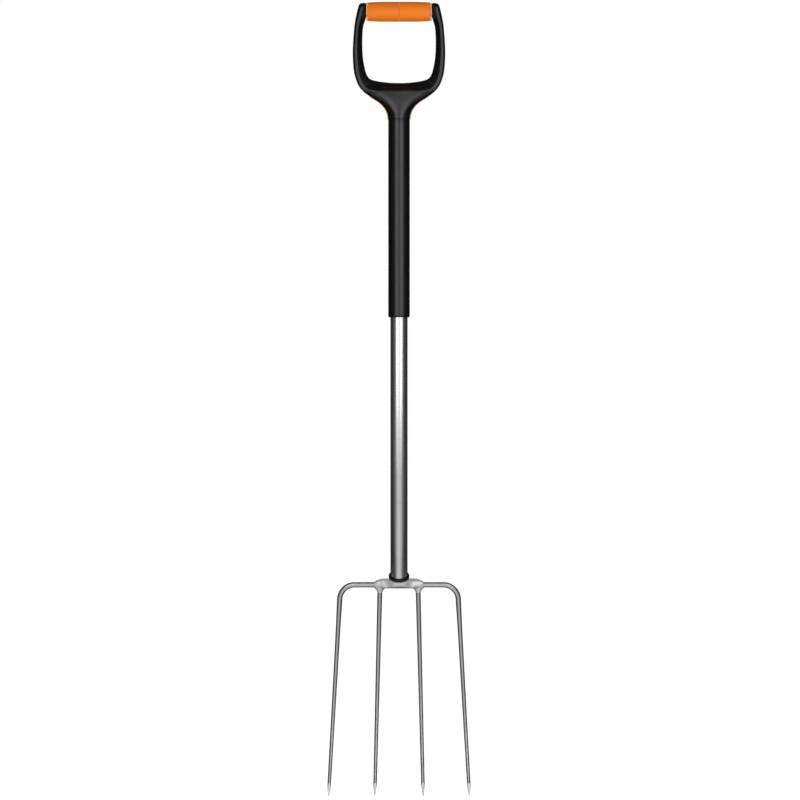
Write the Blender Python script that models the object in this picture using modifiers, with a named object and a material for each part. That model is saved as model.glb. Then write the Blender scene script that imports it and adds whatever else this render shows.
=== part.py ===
"""Garden fork with four round tines, a cranked steel tube and a D-handle, for Blender 4.5.

Metres, +Z up, the hollow side of the tines towards -Y. Heights count from the tine tips, and a rise
counts from the lower end of the handle. The finished fork hangs: the world's origin is the underside
of the grip, where a hook carries it.
"""

import math

import bmesh
import bpy
from mathutils import Vector

# Gap that touching pieces keep between them
CLEARANCE = 0.0003

# Overall: the height of the outer tines' roots, and of the lower end of the handle
HEAD_HEIGHT = 0.318
HANDLE_HEIGHT = 1.022

# Tube: straight from the handle down, then cranked backwards to the fork head
TUBE_RADIUS = 0.0130
TUBE_WALL = 0.0015
TUBE_TOP = HANDLE_HEIGHT + 0.024
CRANK_END = HEAD_HEIGHT + 0.0115
CRANK_START = CRANK_END + 0.1705
CRANK_TILT = math.radians(30)
CRANK_STRAIGHT = 0.035

# Sleeve over the upper half of the tube
SLEEVE_RADIUS = 0.01615
SLEEVE_LENGTH = 0.300
SLEEVE_EDGE = 0.0022

# Handle: a neck that holds the tube, and a D that leans forwards above it
LEAN = math.radians(8)
LEAN_HEIGHT = HANDLE_HEIGHT + 0.016
GRIP_HEIGHT = HANDLE_HEIGHT + 0.162
COVER_LENGTH = 0.034
COVER_SWELL = 0.0008
SPLIT_DEPTH = 0.0015
CORE_RADIUS = 0.008

# Neck of the handle: (rise, half width, half depth)
NECK_SECTIONS = [
    (CLEARANCE, 0.0161, 0.0161),
    (0.0080, 0.0166, 0.0160),
    (0.0150, 0.0196, 0.0157),
    (0.0220, 0.0260, 0.0152),
    (0.0280, 0.0335, 0.0145),
    (0.0340, 0.0420, 0.0135),
    (0.0395, 0.0480, 0.0120),
    (0.0450, 0.0490, 0.0100),
]

# D of the handle, from the top of an arm to the middle of its base: (x, rise, width, half depth)
ARM_SECTIONS = [
    (0.0555, 0.1745, 0.0080, 0.0095),
    (0.0560, 0.1720, 0.0115, 0.0120),
    (0.0562, 0.1620, 0.0125, 0.0130),
    (0.0590, 0.1480, 0.0135, 0.0128),
    (0.0618, 0.1230, 0.0136, 0.0124),
    (0.0624, 0.0980, 0.0146, 0.0122),
    (0.0611, 0.0830, 0.0157, 0.0122),
    (0.0586, 0.0695, 0.0175, 0.0123),
    (0.0535, 0.0580, 0.0195, 0.0124),
    (0.0440, 0.0505, 0.0190, 0.0125),
    (0.0300, 0.0470, 0.0175, 0.0126),
    (0.0140, 0.0445, 0.0175, 0.0127),
]
ARM_MIDDLE = (0.0, 0.0438, 0.0178, 0.0127)

# Grip: two barrels on the crossbar of the D
GRIP_HALF_LENGTH = 0.0493
GRIP_END_RADIUS = 0.0125
GRIP_MIDDLE_RADIUS = 0.0146
GRIP_EDGE = 0.0012

# Screw that holds the cover on the neck
SCREW_RISE = 0.0295
SCREW_SHANK_RADIUS = 0.002
SCREW_HEAD_RADIUS = 0.004
SCREW_HEAD_HEIGHT = 0.003
SCREW_SINK = 0.0024
SCREW_LENGTH = 0.017

# Collar around the lower end of the tube
COLLAR_RADIUS = 0.01585
COLLAR_HEIGHT = 0.004

# Yoke: (x, half height, half depth) of its bar, a boss and a tang on the tube's axis, and two lugs
YOKE_SECTIONS = [
    (0.0, 0.0078, 0.0080),
    (0.012, 0.0078, 0.0080),
    (0.021, 0.0074, 0.0074),
    (0.029, 0.0062, 0.0062),
    (0.037, 0.0046, 0.0046),
]
YOKE_HEIGHT = HEAD_HEIGHT + 0.0015
BOSS_RADIUS = 0.0152
BOSS_HEIGHT = 0.013
TANG_LENGTH = 0.030
LUG_RADIUS = 0.0046
LUG_BOTTOM = HEAD_HEIGHT - 0.013

# Tines: round rods on one arc, seen from the side, that fan out, seen from the front
TINE_RADIUS = 0.00385
TINE_TIP_RADIUS = 0.0025
TINE_POINT_RADIUS = 0.0007
TINE_POINT_LENGTH = 0.018
TINE_ROOT_TILT = math.radians(10)
TINE_TIP_TILT = math.radians(-31)
INNER_TINE_TIP_X = 0.0366
INNER_TINE_SPREAD = 0.0245
OUTER_TINE_TIP_X = 0.1065
OUTER_TINE_SPREAD = 0.0560
SHOULDER_RADIUS = 0.019
SPIGOT_RADIUS = 0.0028
SPIGOT_LENGTH = 0.007

ROUND_STEPS = 32
TINE_STEPS = 20


# Frames: an empty for the whole fork, one for the leaning D and one for the end of the tube

CRANK_RADIUS = (CRANK_START - CRANK_END - CRANK_STRAIGHT * math.cos(CRANK_TILT)) / math.sin(CRANK_TILT)
CRANK_OFFSET = CRANK_RADIUS * (1 - math.cos(CRANK_TILT)) + CRANK_STRAIGHT * math.sin(CRANK_TILT)
TUBE_END = Vector((0, CRANK_OFFSET, CRANK_END))


def up_the_lean(height):
    """Distance up the leaning plane of the D that reaches this height."""
    return (height - LEAN_HEIGHT) / math.cos(LEAN)


HANG_POINT = Vector((
    0,
    -up_the_lean(GRIP_HEIGHT) * math.sin(LEAN),
    GRIP_HEIGHT - GRIP_MIDDLE_RADIUS,
))


def clear_scene():
    for old in list(bpy.data.objects):
        bpy.data.objects.remove(old, do_unlink=True)


def new_collection(name):
    collection = bpy.data.collections.new(name)
    bpy.context.scene.collection.children.link(collection)
    return collection


def add_frame(name, location=(0, 0, 0), tilt=0.0, parent=None):
    """An empty at a location, turned about X."""
    frame = bpy.data.objects.new(name, None)
    frame.empty_display_size = 0.02
    frame.location = location
    frame.rotation_euler.x = tilt
    frame.parent = parent
    PARTS.objects.link(frame)
    return frame


def new_material(name, color, roughness, metallic=0.0):
    material = bpy.data.materials.new(name)
    material.use_nodes = True
    shader = material.node_tree.nodes["Principled BSDF"]
    shader.inputs["Base Color"].default_value = (*color, 1)
    shader.inputs["Roughness"].default_value = roughness
    shader.inputs["Metallic"].default_value = metallic
    return material


def add_object(name, data, frame, material):
    obj = bpy.data.objects.new(name, data)
    obj.parent = frame
    obj.data.materials.append(material)
    PARTS.objects.link(obj)
    return obj


def as_cutter(obj):
    """Makes the object a helper, which takes part in Booleans only."""
    PARTS.objects.unlink(obj)
    CUTTERS.objects.link(obj)
    obj.hide_render = True
    obj.display_type = "WIRE"
    return obj


def combine(obj, other, operation):
    """Adds a Boolean of the object with a helper."""
    modifier = obj.modifiers.new(f"{operation.lower()}_{other.name}", "BOOLEAN")
    modifier.operation = operation
    modifier.object = other
    modifier.solver = "EXACT"


def shade(mesh):
    mesh.shade_smooth()
    mesh.set_sharp_from_angle(angle=math.radians(35))


def turned(name, profile, frame, material, closed=False):
    """A shape turned about Z. The profile's (radius, height) points run down its outer side."""
    bm = bmesh.new()
    verts = [bm.verts.new((radius, 0, height)) for radius, height in profile]
    for start, end in zip(verts, verts[1:]):
        bm.edges.new((start, end))
    if closed:
        bm.edges.new((verts[-1], verts[0]))
    mesh = bpy.data.meshes.new(name)
    bm.to_mesh(mesh)
    bm.free()
    obj = add_object(name, mesh, frame, material)
    screw = obj.modifiers.new("turn", "SCREW")
    screw.steps = screw.render_steps = ROUND_STEPS
    screw.use_merge_vertices = True
    screw.merge_threshold = 0.00001
    screw.use_smooth_shade = True
    return obj


def rod(name, points, radii, frame, material, resolution=4):
    """A round rod through points, made a mesh so that it can be cut."""
    curve = bpy.data.curves.new(name, "CURVE")
    curve.dimensions = "3D"
    curve.bevel_depth = max(radii)
    curve.bevel_resolution = resolution
    curve.use_fill_caps = True
    spline = curve.splines.new("POLY")
    spline.points.add(len(points) - 1)
    for point, co, radius in zip(spline.points, points, radii):
        point.co = (*co, 1)
        point.radius = radius / max(radii)
    guide = bpy.data.objects.new(f"{name}_path", curve)
    bpy.context.scene.collection.objects.link(guide)
    bpy.context.view_layer.update()
    evaluated = guide.evaluated_get(bpy.context.evaluated_depsgraph_get())
    mesh = bpy.data.meshes.new_from_object(evaluated)
    mesh.name = name
    bpy.data.objects.remove(guide, do_unlink=True)
    bm = bmesh.new()
    bm.from_mesh(mesh)
    bmesh.ops.remove_doubles(bm, verts=bm.verts, dist=0.000005)
    bmesh.ops.recalc_face_normals(bm, faces=bm.faces)
    bm.to_mesh(mesh)
    bm.free()
    mesh.materials.clear()
    shade(mesh)
    return add_object(name, mesh, frame, material)


def oval(center, across, along, power, steps):
    """Points of a superellipse around a centre, between its two half axes."""
    points = []
    for step in range(steps):
        angle = 2 * math.pi * step / steps
        cos, sin = math.cos(angle), math.sin(angle)
        a = math.copysign(abs(cos) ** (2 / power), cos)
        b = math.copysign(abs(sin) ** (2 / power), sin)
        points.append(center + a * across + b * along)
    return points


def loft(name, sections, frame, material):
    """A closed skin over sections that hold the same number of points."""
    bm = bmesh.new()
    rings = [[bm.verts.new(point) for point in section] for section in sections]
    for lower, upper in zip(rings, rings[1:]):
        for i in range(len(lower)):
            j = (i + 1) % len(lower)
            bm.faces.new((lower[i], lower[j], upper[j], upper[i]))
    bm.faces.new(rings[0])
    bm.faces.new(rings[-1])
    bmesh.ops.recalc_face_normals(bm, faces=bm.faces)
    mesh = bpy.data.meshes.new(name)
    bm.to_mesh(mesh)
    bm.free()
    shade(mesh)
    return add_object(name, mesh, frame, material)


def box(name, low, high, frame, material):
    bm = bmesh.new()
    bmesh.ops.create_cube(bm, size=1)
    for vert in bm.verts:
        vert.co = [a + (c + 0.5) * (b - a) for a, b, c in zip(low, high, vert.co)]
    mesh = bpy.data.meshes.new(name)
    bm.to_mesh(mesh)
    bm.free()
    return add_object(name, mesh, frame, material)


# Tube, sleeve and collar


def tube_path(overrun=0.0):
    """Centre line of the tube, from its top to its cranked end."""
    arc_steps = 14
    points = [Vector((0, 0, TUBE_TOP + overrun))]
    for step in range(arc_steps + 1):
        angle = CRANK_TILT * step / arc_steps
        back = CRANK_RADIUS * (1 - math.cos(angle))
        points.append(Vector((0, back, CRANK_START - CRANK_RADIUS * math.sin(angle))))
    down = Vector((0, math.sin(CRANK_TILT), -math.cos(CRANK_TILT)))
    points.append(TUBE_END + down * overrun)
    return points


def make_tube():
    path = tube_path()
    sides = ROUND_STEPS // 2 - 2
    tube = rod("shaft_tube", path, [TUBE_RADIUS] * len(path), FORK, STEEL, sides)
    path = tube_path(overrun=0.005)
    bore = rod("tube_bore", path, [TUBE_RADIUS - TUBE_WALL] * len(path), FORK, STEEL, sides)
    combine(tube, as_cutter(bore), "DIFFERENCE")


def make_sleeve():
    hole = TUBE_RADIUS + CLEARANCE
    top, bottom = HANDLE_HEIGHT, HANDLE_HEIGHT - SLEEVE_LENGTH
    profile = [
        (hole, top),
        (SLEEVE_RADIUS - SLEEVE_EDGE / 4, top),
        (SLEEVE_RADIUS, top - SLEEVE_EDGE / 4),
        (SLEEVE_RADIUS, bottom + SLEEVE_EDGE),
        (SLEEVE_RADIUS - SLEEVE_EDGE * 0.3, bottom + SLEEVE_EDGE * 0.3),
        (SLEEVE_RADIUS - SLEEVE_EDGE, bottom),
        (hole, bottom),
    ]
    turned("upper_sleeve", profile, FORK, BLACK_PLASTIC, closed=True)


def make_collar():
    hole = TUBE_RADIUS + CLEARANCE
    edge = COLLAR_HEIGHT / 4
    profile = [
        (hole, COLLAR_HEIGHT),
        (COLLAR_RADIUS - edge, COLLAR_HEIGHT),
        (COLLAR_RADIUS, COLLAR_HEIGHT - edge),
        (COLLAR_RADIUS, edge),
        (COLLAR_RADIUS - edge, 0),
        (hole, 0),
    ]
    turned("collar_ring", profile, TUBE_END_FRAME, BLACK_RUBBER, closed=True)


# Handle


def neck(name, swell=0.0):
    """The neck of the handle, from the sleeve up into the base of the D."""
    sections = []
    for rise, half_width, half_depth in NECK_SECTIONS:
        height = HANDLE_HEIGHT + rise
        forward = max(0.0, height - LEAN_HEIGHT) * math.tan(LEAN)
        power = 2 if height < LEAN_HEIGHT else 2.4
        across = Vector((half_width + swell, 0, 0))
        along = Vector((0, half_depth + swell, 0))
        sections.append(oval(Vector((0, -forward, height)), across, along, power, ROUND_STEPS))
    return loft(name, sections, FORK, BLACK_PLASTIC)


def handle_arms():
    """The D without its crossbar, as one loft from the left arm round to the right one."""
    left = [(-x, rise, width, depth) for x, rise, width, depth in ARM_SECTIONS]
    stations = left + [ARM_MIDDLE] + ARM_SECTIONS[::-1]
    sections = []
    for i, (x, rise, width, depth) in enumerate(stations):
        before, after = stations[max(i - 1, 0)], stations[min(i + 1, len(stations) - 1)]
        run = Vector((after[0] - before[0], 0, after[1] - before[1])).normalized()
        across = Vector((-run.z, 0, run.x)) * width / 2
        center = Vector((x, 0, up_the_lean(HANDLE_HEIGHT + rise)))
        sections.append(oval(center, across, Vector((0, depth, 0)), 2.5, 16))
    return loft("handle_frame", sections, HANDLE_FRAME, BLACK_PLASTIC)


def crossbar_core():
    reach = ARM_SECTIONS[2][0]
    core = turned("crossbar_core", [(0, reach), (CORE_RADIUS, reach), (CORE_RADIUS, -reach), (0, -reach)],
                  HANDLE_FRAME, BLACK_PLASTIC)
    core.location.z = up_the_lean(GRIP_HEIGHT)
    core.rotation_euler.y = math.pi / 2
    return core


def tube_socket():
    """Space for the upper end of the tube."""
    radius = TUBE_RADIUS + CLEARANCE
    top, bottom = TUBE_TOP + CLEARANCE, HANDLE_HEIGHT - 0.005
    return turned("tube_socket", [(0, top), (radius, top), (radius, bottom), (0, bottom)], FORK, STEEL)


def screw_frame():
    """Frame on the back of the neck whose +Z points out of the screw's head."""
    _, _, half_depth = NECK_SECTIONS[4]
    height = HANDLE_HEIGHT + SCREW_RISE
    forward = (height - LEAN_HEIGHT) * math.tan(LEAN)
    surface = Vector((0, half_depth - forward - SCREW_SINK, height))
    return add_frame("screw_seat", surface, -math.pi / 2, FORK)


def screw_profile(gap):
    head, shank = SCREW_HEAD_RADIUS + gap, SCREW_SHANK_RADIUS + gap
    reach = SCREW_HEAD_HEIGHT / 2 + (0.01 if gap else 0)
    end = SCREW_LENGTH + gap
    return [(0, reach), (head * 0.8, reach), (head, reach * 0.5), (head, -gap),
            (shank, -gap), (shank, -end), (0, -end)]


def make_handle():
    seat = screw_frame()
    socket = as_cutter(tube_socket())
    screw_hole = as_cutter(turned("screw_hole", screw_profile(CLEARANCE), seat, STEEL))
    bottom, top, reach = HANDLE_HEIGHT - 0.005, HANDLE_HEIGHT + COVER_LENGTH, 0.1
    cover_space = as_cutter(box("cover_space", (-reach, SPLIT_DEPTH, bottom),
                                (reach, reach, top + CLEARANCE), FORK, STEEL))
    cover_block = as_cutter(box("cover_block", (-reach, SPLIT_DEPTH + CLEARANCE, bottom),
                                (reach, reach, top), FORK, STEEL))
    front_neck = neck("front_neck")
    combine(front_neck, cover_space, "DIFFERENCE")
    combine(front_neck, socket, "DIFFERENCE")
    combine(front_neck, screw_hole, "DIFFERENCE")
    frame = handle_arms()
    combine(frame, as_cutter(front_neck), "UNION")
    combine(frame, as_cutter(crossbar_core()), "UNION")

    cover = neck("neck_back_cover", COVER_SWELL)
    cover.data.materials[0] = ORANGE_PLASTIC
    combine(cover, cover_block, "INTERSECT")
    combine(cover, socket, "DIFFERENCE")
    combine(cover, screw_hole, "DIFFERENCE")
    turned("cover_screw", screw_profile(0.0), seat, DARK_STEEL)


def make_grips():
    """Two barrels that meet in a shallow groove at the middle of the crossbar."""
    hole = CORE_RADIUS + CLEARANCE
    inner, length = CLEARANCE / 2, GRIP_HALF_LENGTH
    bulge_steps = 8
    for side, name in ((-1, "grip_left"), (1, "grip_right")):
        profile = [(hole, length), (GRIP_END_RADIUS - GRIP_EDGE, length)]
        for step in range(bulge_steps + 1):
            along = (length - GRIP_EDGE) * (1 - step / bulge_steps) + GRIP_EDGE * step / bulge_steps
            swell = math.cos(math.pi / 2 * along / length)
            profile.append((GRIP_END_RADIUS + (GRIP_MIDDLE_RADIUS - GRIP_END_RADIUS) * swell, along))
        profile += [(GRIP_MIDDLE_RADIUS - GRIP_EDGE, inner), (hole, inner)]
        grip = turned(name, profile, HANDLE_FRAME, ORANGE_RUBBER, closed=True)
        grip.location.z = up_the_lean(GRIP_HEIGHT)
        grip.rotation_euler.y = side * math.pi / 2


# Fork head


def tine_depth(height):
    """Distance back from the tube's axis of a tine's centre line, on its arc."""
    fall = math.sin(TINE_ROOT_TILT) - math.sin(TINE_TIP_TILT)
    radius = HEAD_HEIGHT / fall
    sine = math.sin(TINE_ROOT_TILT) - (HEAD_HEIGHT - height) / radius
    root = CRANK_OFFSET + (CRANK_END - HEAD_HEIGHT) * math.tan(CRANK_TILT) / 2
    return root + radius * (math.sqrt(1 - sine * sine) - math.cos(TINE_ROOT_TILT))


def tine_radius(height):
    """Radius of a tine: a long taper, then a short point."""
    if height < TINE_POINT_LENGTH:
        share = height / TINE_POINT_LENGTH
        return TINE_POINT_RADIUS + (TINE_TIP_RADIUS - TINE_POINT_RADIUS) * share
    share = (height - TINE_POINT_LENGTH) / (HEAD_HEIGHT - TINE_POINT_LENGTH)
    return TINE_TIP_RADIUS + (TINE_RADIUS - TINE_TIP_RADIUS) * min(share * 2.2, 1)


def tine_blade(tip_x, spread, top):
    """Points and radii down a tine's straight fan line, from a height to its tip."""
    heights = [top + (TINE_POINT_LENGTH - top) * step / TINE_STEPS for step in range(TINE_STEPS + 1)]
    heights += [TINE_POINT_LENGTH / 2, 0.0]
    points = [Vector((tip_x - spread * height, tine_depth(height), height)) for height in heights]
    return points, [tine_radius(height) for height in heights]


def inner_tine():
    """A tine that hangs from a lug of the yoke by a spigot."""
    top = LUG_BOTTOM - CLEARANCE
    points, radii = tine_blade(INNER_TINE_TIP_X, INNER_TINE_SPREAD, top)
    root = points[0] + (points[0] - points[1]).normalized() * SPIGOT_LENGTH
    return [root, points[0]] + [points[0]] + points[1:], [SPIGOT_RADIUS] * 2 + radii


def outer_tine():
    """A tine that leaves the end of the yoke sideways and bends down over a shoulder."""
    start = YOKE_SECTIONS[-1][0] + CLEARANCE
    drop = HEAD_HEIGHT - SHOULDER_RADIUS
    points, radii = tine_blade(OUTER_TINE_TIP_X, OUTER_TINE_SPREAD, drop)
    corner = points[0].x - SHOULDER_RADIUS
    bend = []
    bend_steps = 8
    for step in range(bend_steps):
        angle = math.pi / 2 * step / bend_steps
        height = drop + SHOULDER_RADIUS * math.cos(angle)
        bend.append(Vector((corner + SHOULDER_RADIUS * math.sin(angle), tine_depth(height), height)))
    end = Vector((start, tine_depth(HEAD_HEIGHT), HEAD_HEIGHT))
    root = end - Vector((SPIGOT_LENGTH, 0, 0))
    radii = [SPIGOT_RADIUS] * 2 + [TINE_RADIUS] * (1 + bend_steps) + radii
    return [root, end, end] + bend + points, radii


def step_apart(points):
    """Moves the second of two equal points on a little, so that a rod can change its radius there."""
    apart = [points[0]]
    for point in points[1:]:
        if (point - apart[-1]).length < 0.00001:
            point = point + (apart[-1] - apart[-2]).normalized() * 0.00005
        apart.append(point)
    return apart


def make_tines():
    for place, (points, radii) in (("inner", inner_tine()), ("outer", outer_tine())):
        points = step_apart(points)
        for side, hand in ((-1, "left"), (1, "right")):
            placed = [Vector((side * point.x, point.y, point.z)) for point in points]
            rod(f"{place}_tine_{hand}", placed, radii, FORK, TINE_STEEL, resolution=4)


def yoke_bar():
    """The bar of the yoke, which thins towards the outer tines."""
    right = YOKE_SECTIONS[1:]
    left = [(-x, height, depth) for x, height, depth in reversed(right)]
    sections = []
    for x, half_height, half_depth in left + [YOKE_SECTIONS[0]] + right:
        share = abs(x) / YOKE_SECTIONS[-1][0]
        height = YOKE_HEIGHT + (HEAD_HEIGHT - YOKE_HEIGHT) * share
        center = Vector((x, tine_depth(HEAD_HEIGHT), height))
        across, along = Vector((0, half_depth, 0)), Vector((0, 0, half_height))
        sections.append(oval(center, across, along, 2.2, 20))
    return loft("tine_yoke", sections, FORK, TINE_STEEL)


def yoke_boss():
    """Seat under the tube, with the tang that fills the tube's end."""
    tang = TUBE_RADIUS - TUBE_WALL - CLEARANCE
    profile = [
        (0, TANG_LENGTH),
        (tang - 0.001, TANG_LENGTH),
        (tang, TANG_LENGTH - 0.001),
        (tang, -CLEARANCE),
        (BOSS_RADIUS, -CLEARANCE),
        (BOSS_RADIUS, -0.003),
        (BOSS_RADIUS - 0.003, -BOSS_HEIGHT * 0.7),
        (BOSS_RADIUS - 0.007, -BOSS_HEIGHT),
        (0, -BOSS_HEIGHT),
    ]
    return turned("yoke_boss", profile, TUBE_END_FRAME, TINE_STEEL)


def collar_space():
    """Space of the tube and its collar, above the face that they stand on."""
    radius = COLLAR_RADIUS + CLEARANCE
    top = BOSS_HEIGHT
    profile = [(0, top), (radius, top), (radius, -CLEARANCE), (0, -CLEARANCE)]
    return turned("collar_space", profile, TUBE_END_FRAME, STEEL)


def make_yoke():
    yoke = yoke_bar()
    combine(yoke, as_cutter(collar_space()), "DIFFERENCE")
    combine(yoke, as_cutter(yoke_boss()), "UNION")
    inner, _ = tine_blade(INNER_TINE_TIP_X, INNER_TINE_SPREAD, LUG_BOTTOM)
    run = (inner[0] - inner[1]).normalized()
    gap = SPIGOT_LENGTH + CLEARANCE
    socket_radius = SPIGOT_RADIUS + CLEARANCE
    depth = tine_depth(HEAD_HEIGHT)
    for side, hand in ((-1, "left"), (1, "right")):
        bottom = Vector((side * inner[0].x, inner[0].y, inner[0].z))
        up = Vector((side * run.x, run.y, run.z))
        top = bottom + up * (YOKE_HEIGHT - LUG_BOTTOM)
        middle = bottom.lerp(top, 0.55)
        lug = rod(f"lug_{hand}", [bottom, middle, top], [LUG_RADIUS, LUG_RADIUS * 1.25, LUG_RADIUS * 1.1],
                  FORK, TINE_STEEL)
        combine(yoke, as_cutter(lug), "UNION")
        lug_hole = rod(f"lug_hole_{hand}", [bottom - up * 0.002, bottom + up * gap],
                       [socket_radius] * 2, FORK, TINE_STEEL)
        combine(yoke, as_cutter(lug_hole), "DIFFERENCE")
        end = side * YOKE_SECTIONS[-1][0]
        ends = [Vector((end + side * 0.002, depth, HEAD_HEIGHT)),
                Vector((end - side * gap, depth, HEAD_HEIGHT))]
        end_hole = rod(f"end_hole_{hand}", ends, [socket_radius] * 2, FORK, TINE_STEEL)
        combine(yoke, as_cutter(end_hole), "DIFFERENCE")


clear_scene()
PARTS = new_collection("garden_fork")
CUTTERS = new_collection("garden_fork_cutters")
CUTTERS.hide_render = True

STEEL = new_material("satin_steel", (0.62, 0.62, 0.63), 0.32, 1.0)
TINE_STEEL = new_material("tine_steel", (0.52, 0.52, 0.53), 0.38, 1.0)
DARK_STEEL = new_material("dark_steel", (0.12, 0.12, 0.13), 0.45, 1.0)
BLACK_PLASTIC = new_material("black_plastic", (0.012, 0.012, 0.013), 0.42)
BLACK_RUBBER = new_material("black_rubber", (0.008, 0.008, 0.008), 0.6)
ORANGE_PLASTIC = new_material("orange_plastic", (0.80, 0.20, 0.02), 0.45)
ORANGE_RUBBER = new_material("orange_rubber", (0.86, 0.22, 0.02), 0.55)

FORK = add_frame("fork_frame", -HANG_POINT)
HANDLE_FRAME = add_frame("leaning_handle", (0, 0, LEAN_HEIGHT), LEAN, FORK)
TUBE_END_FRAME = add_frame("tube_end", TUBE_END, CRANK_TILT, FORK)

make_tube()
make_sleeve()
make_collar()
make_handle()
make_grips()
make_yoke()
make_tines()
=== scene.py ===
"""Studio scene of a long-handled garden fork: D-handle, sleeved steel tube and a head of four tines.

Everything stands in the row frame, in metres and +Z up. Its origin is the underside of the grip, and the
front of the fork, the hollow side of its tines, looks towards -Y.
"""

from __future__ import annotations

import logging
import math
from dataclasses import dataclass
from enum import Enum
from typing import Sequence

import bmesh
import bpy
import numpy as np
from mathutils import Matrix, Vector


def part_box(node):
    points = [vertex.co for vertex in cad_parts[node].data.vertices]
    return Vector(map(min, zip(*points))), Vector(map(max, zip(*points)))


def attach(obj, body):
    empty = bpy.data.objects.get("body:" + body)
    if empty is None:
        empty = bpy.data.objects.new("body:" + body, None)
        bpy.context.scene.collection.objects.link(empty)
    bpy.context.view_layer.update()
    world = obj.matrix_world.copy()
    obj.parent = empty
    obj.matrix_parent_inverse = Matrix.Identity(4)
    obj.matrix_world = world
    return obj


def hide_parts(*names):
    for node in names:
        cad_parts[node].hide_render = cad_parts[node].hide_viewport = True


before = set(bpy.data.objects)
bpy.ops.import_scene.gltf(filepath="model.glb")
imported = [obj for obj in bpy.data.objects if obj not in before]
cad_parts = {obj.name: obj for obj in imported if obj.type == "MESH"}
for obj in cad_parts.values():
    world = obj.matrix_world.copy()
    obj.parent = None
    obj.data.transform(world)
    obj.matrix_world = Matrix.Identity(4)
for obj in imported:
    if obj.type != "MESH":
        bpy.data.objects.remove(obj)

log = logging.getLogger("garden_fork")

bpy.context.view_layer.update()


class Slot(Enum):
    """Material slots of the record."""

    SATIN_STEEL = "satin_steel"
    TINE_STEEL = "tine_steel"
    DARK_STEEL = "dark_steel"
    BLACK_PLASTIC = "black_plastic"
    BLACK_RUBBER = "black_rubber"
    ORANGE_PLASTIC = "orange_plastic"
    ORANGE_RUBBER = "orange_rubber"


class Cut(Enum):
    """What a cutter leaves of a piece, with Blender's name of the operation."""

    OUTSIDE = "DIFFERENCE"
    INSIDE = "INTERSECT"


class Hand(Enum):
    """Sides of the fork, with the sign of their x."""

    LEFT = -1
    RIGHT = 1

    @property
    def word(self) -> str:
        """The side's name in lower case."""
        return self.name.lower()


# Places read from the frame


@dataclass(frozen=True)
class Datum:
    """Reference lines of the fork, taken from the solids of the frame.

    Attributes:
        axis_y: y of the straight part of the tube.
        tips_z: height of the tine tips.
        handle_z: height of the lower end of the handle.
        head_z: height of the outer tines' roots.
        end_y: y of the tube's lower end, on its axis.
        end_z: height of the tube's lower end, on its axis.
    """

    axis_y: float
    tips_z: float
    handle_z: float
    head_z: float
    end_y: float
    end_z: float

    @classmethod
    def from_frame(cls) -> Datum:
        """Reads the reference lines.

        Returns:
            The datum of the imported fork.
        """
        sleeve_low, sleeve_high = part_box("upper_sleeve")
        tine_low, tine_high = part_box("outer_tine_left")
        collar_low, collar_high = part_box("collar_ring")
        collar = (Vector(collar_low) + Vector(collar_high)) / 2
        down = tilted_down(CRANK_TILT) * COLLAR_HEIGHT / 2
        return cls(
            axis_y=(sleeve_low[1] + sleeve_high[1]) / 2,
            tips_z=tine_low[2],
            handle_z=sleeve_high[2],
            head_z=tine_high[2] - TINE_RADIUS - HEAD_DROP,
            end_y=collar.y + down.y,
            end_z=collar.z + down.z - HEAD_DROP,
        )


CRANK_TILT = math.radians(30)
COLLAR_HEIGHT = 0.004
TINE_RADIUS = 0.00385
HEAD_DROP = 0.0010  # how much lower the finished head sits than its solids


def tilted_down(tilt: float) -> Vector:
    """Direction down the fork, leaning backwards by an angle."""
    return Vector((0, math.sin(tilt), -math.cos(tilt)))


# Mesh building

SHARP_ANGLE = math.radians(40)
WELD_DISTANCE = 1e-6


def new_piece(
    name: str,
    points: Sequence[Sequence[float]],
    faces: Sequence[Sequence[int]],
) -> bpy.types.Object:
    """Makes a smooth-shaded mesh object.

    Args:
        name: name of the object and its mesh.
        points: vertex positions in metres.
        faces: vertex numbers of each face.

    Returns:
        The new object, linked to the scene.
    """
    mesh = bpy.data.meshes.new(name)
    mesh.from_pydata([tuple(p) for p in points], [], [tuple(f) for f in faces])
    mesh.update()
    return link_piece(name, mesh)


def link_piece(name: str, mesh: bpy.types.Mesh) -> bpy.types.Object:
    """Puts a mesh in the scene, smooth with sharp edges kept.

    Args:
        name: name of the object.
        mesh: its mesh, whose normals are turned outwards.

    Returns:
        The new object.
    """
    bm = bmesh.new()
    bm.from_mesh(mesh)
    bmesh.ops.recalc_face_normals(bm, faces=bm.faces)
    bm.to_mesh(mesh)
    bm.free()
    mesh.shade_smooth()
    mesh.set_sharp_from_angle(angle=SHARP_ANGLE)
    obj = bpy.data.objects.new(name, mesh)
    bpy.context.scene.collection.objects.link(obj)
    return obj


def add_lay(mesh: bpy.types.Mesh, around: Sequence[float], along: Sequence[float]) -> None:
    """Stores each vertex's place on a rod as a UV map in metres.

    Args:
        mesh: the mesh to write to.
        around: distance around the rod, for each vertex.
        along: distance down the rod, for each vertex.
    """
    layer = mesh.uv_layers.new(name="lay")
    for loop in mesh.loops:
        layer.data[loop.index].uv = (around[loop.vertex_index], along[loop.vertex_index])


def add_mask(mesh: bpy.types.Mesh, name: str, values: Sequence[float]) -> None:
    """Stores a value for each vertex under a name that materials read."""
    attribute = mesh.attributes.new(name, "FLOAT", "POINT")
    attribute.data.foreach_set("value", np.asarray(values, np.float32))


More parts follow.
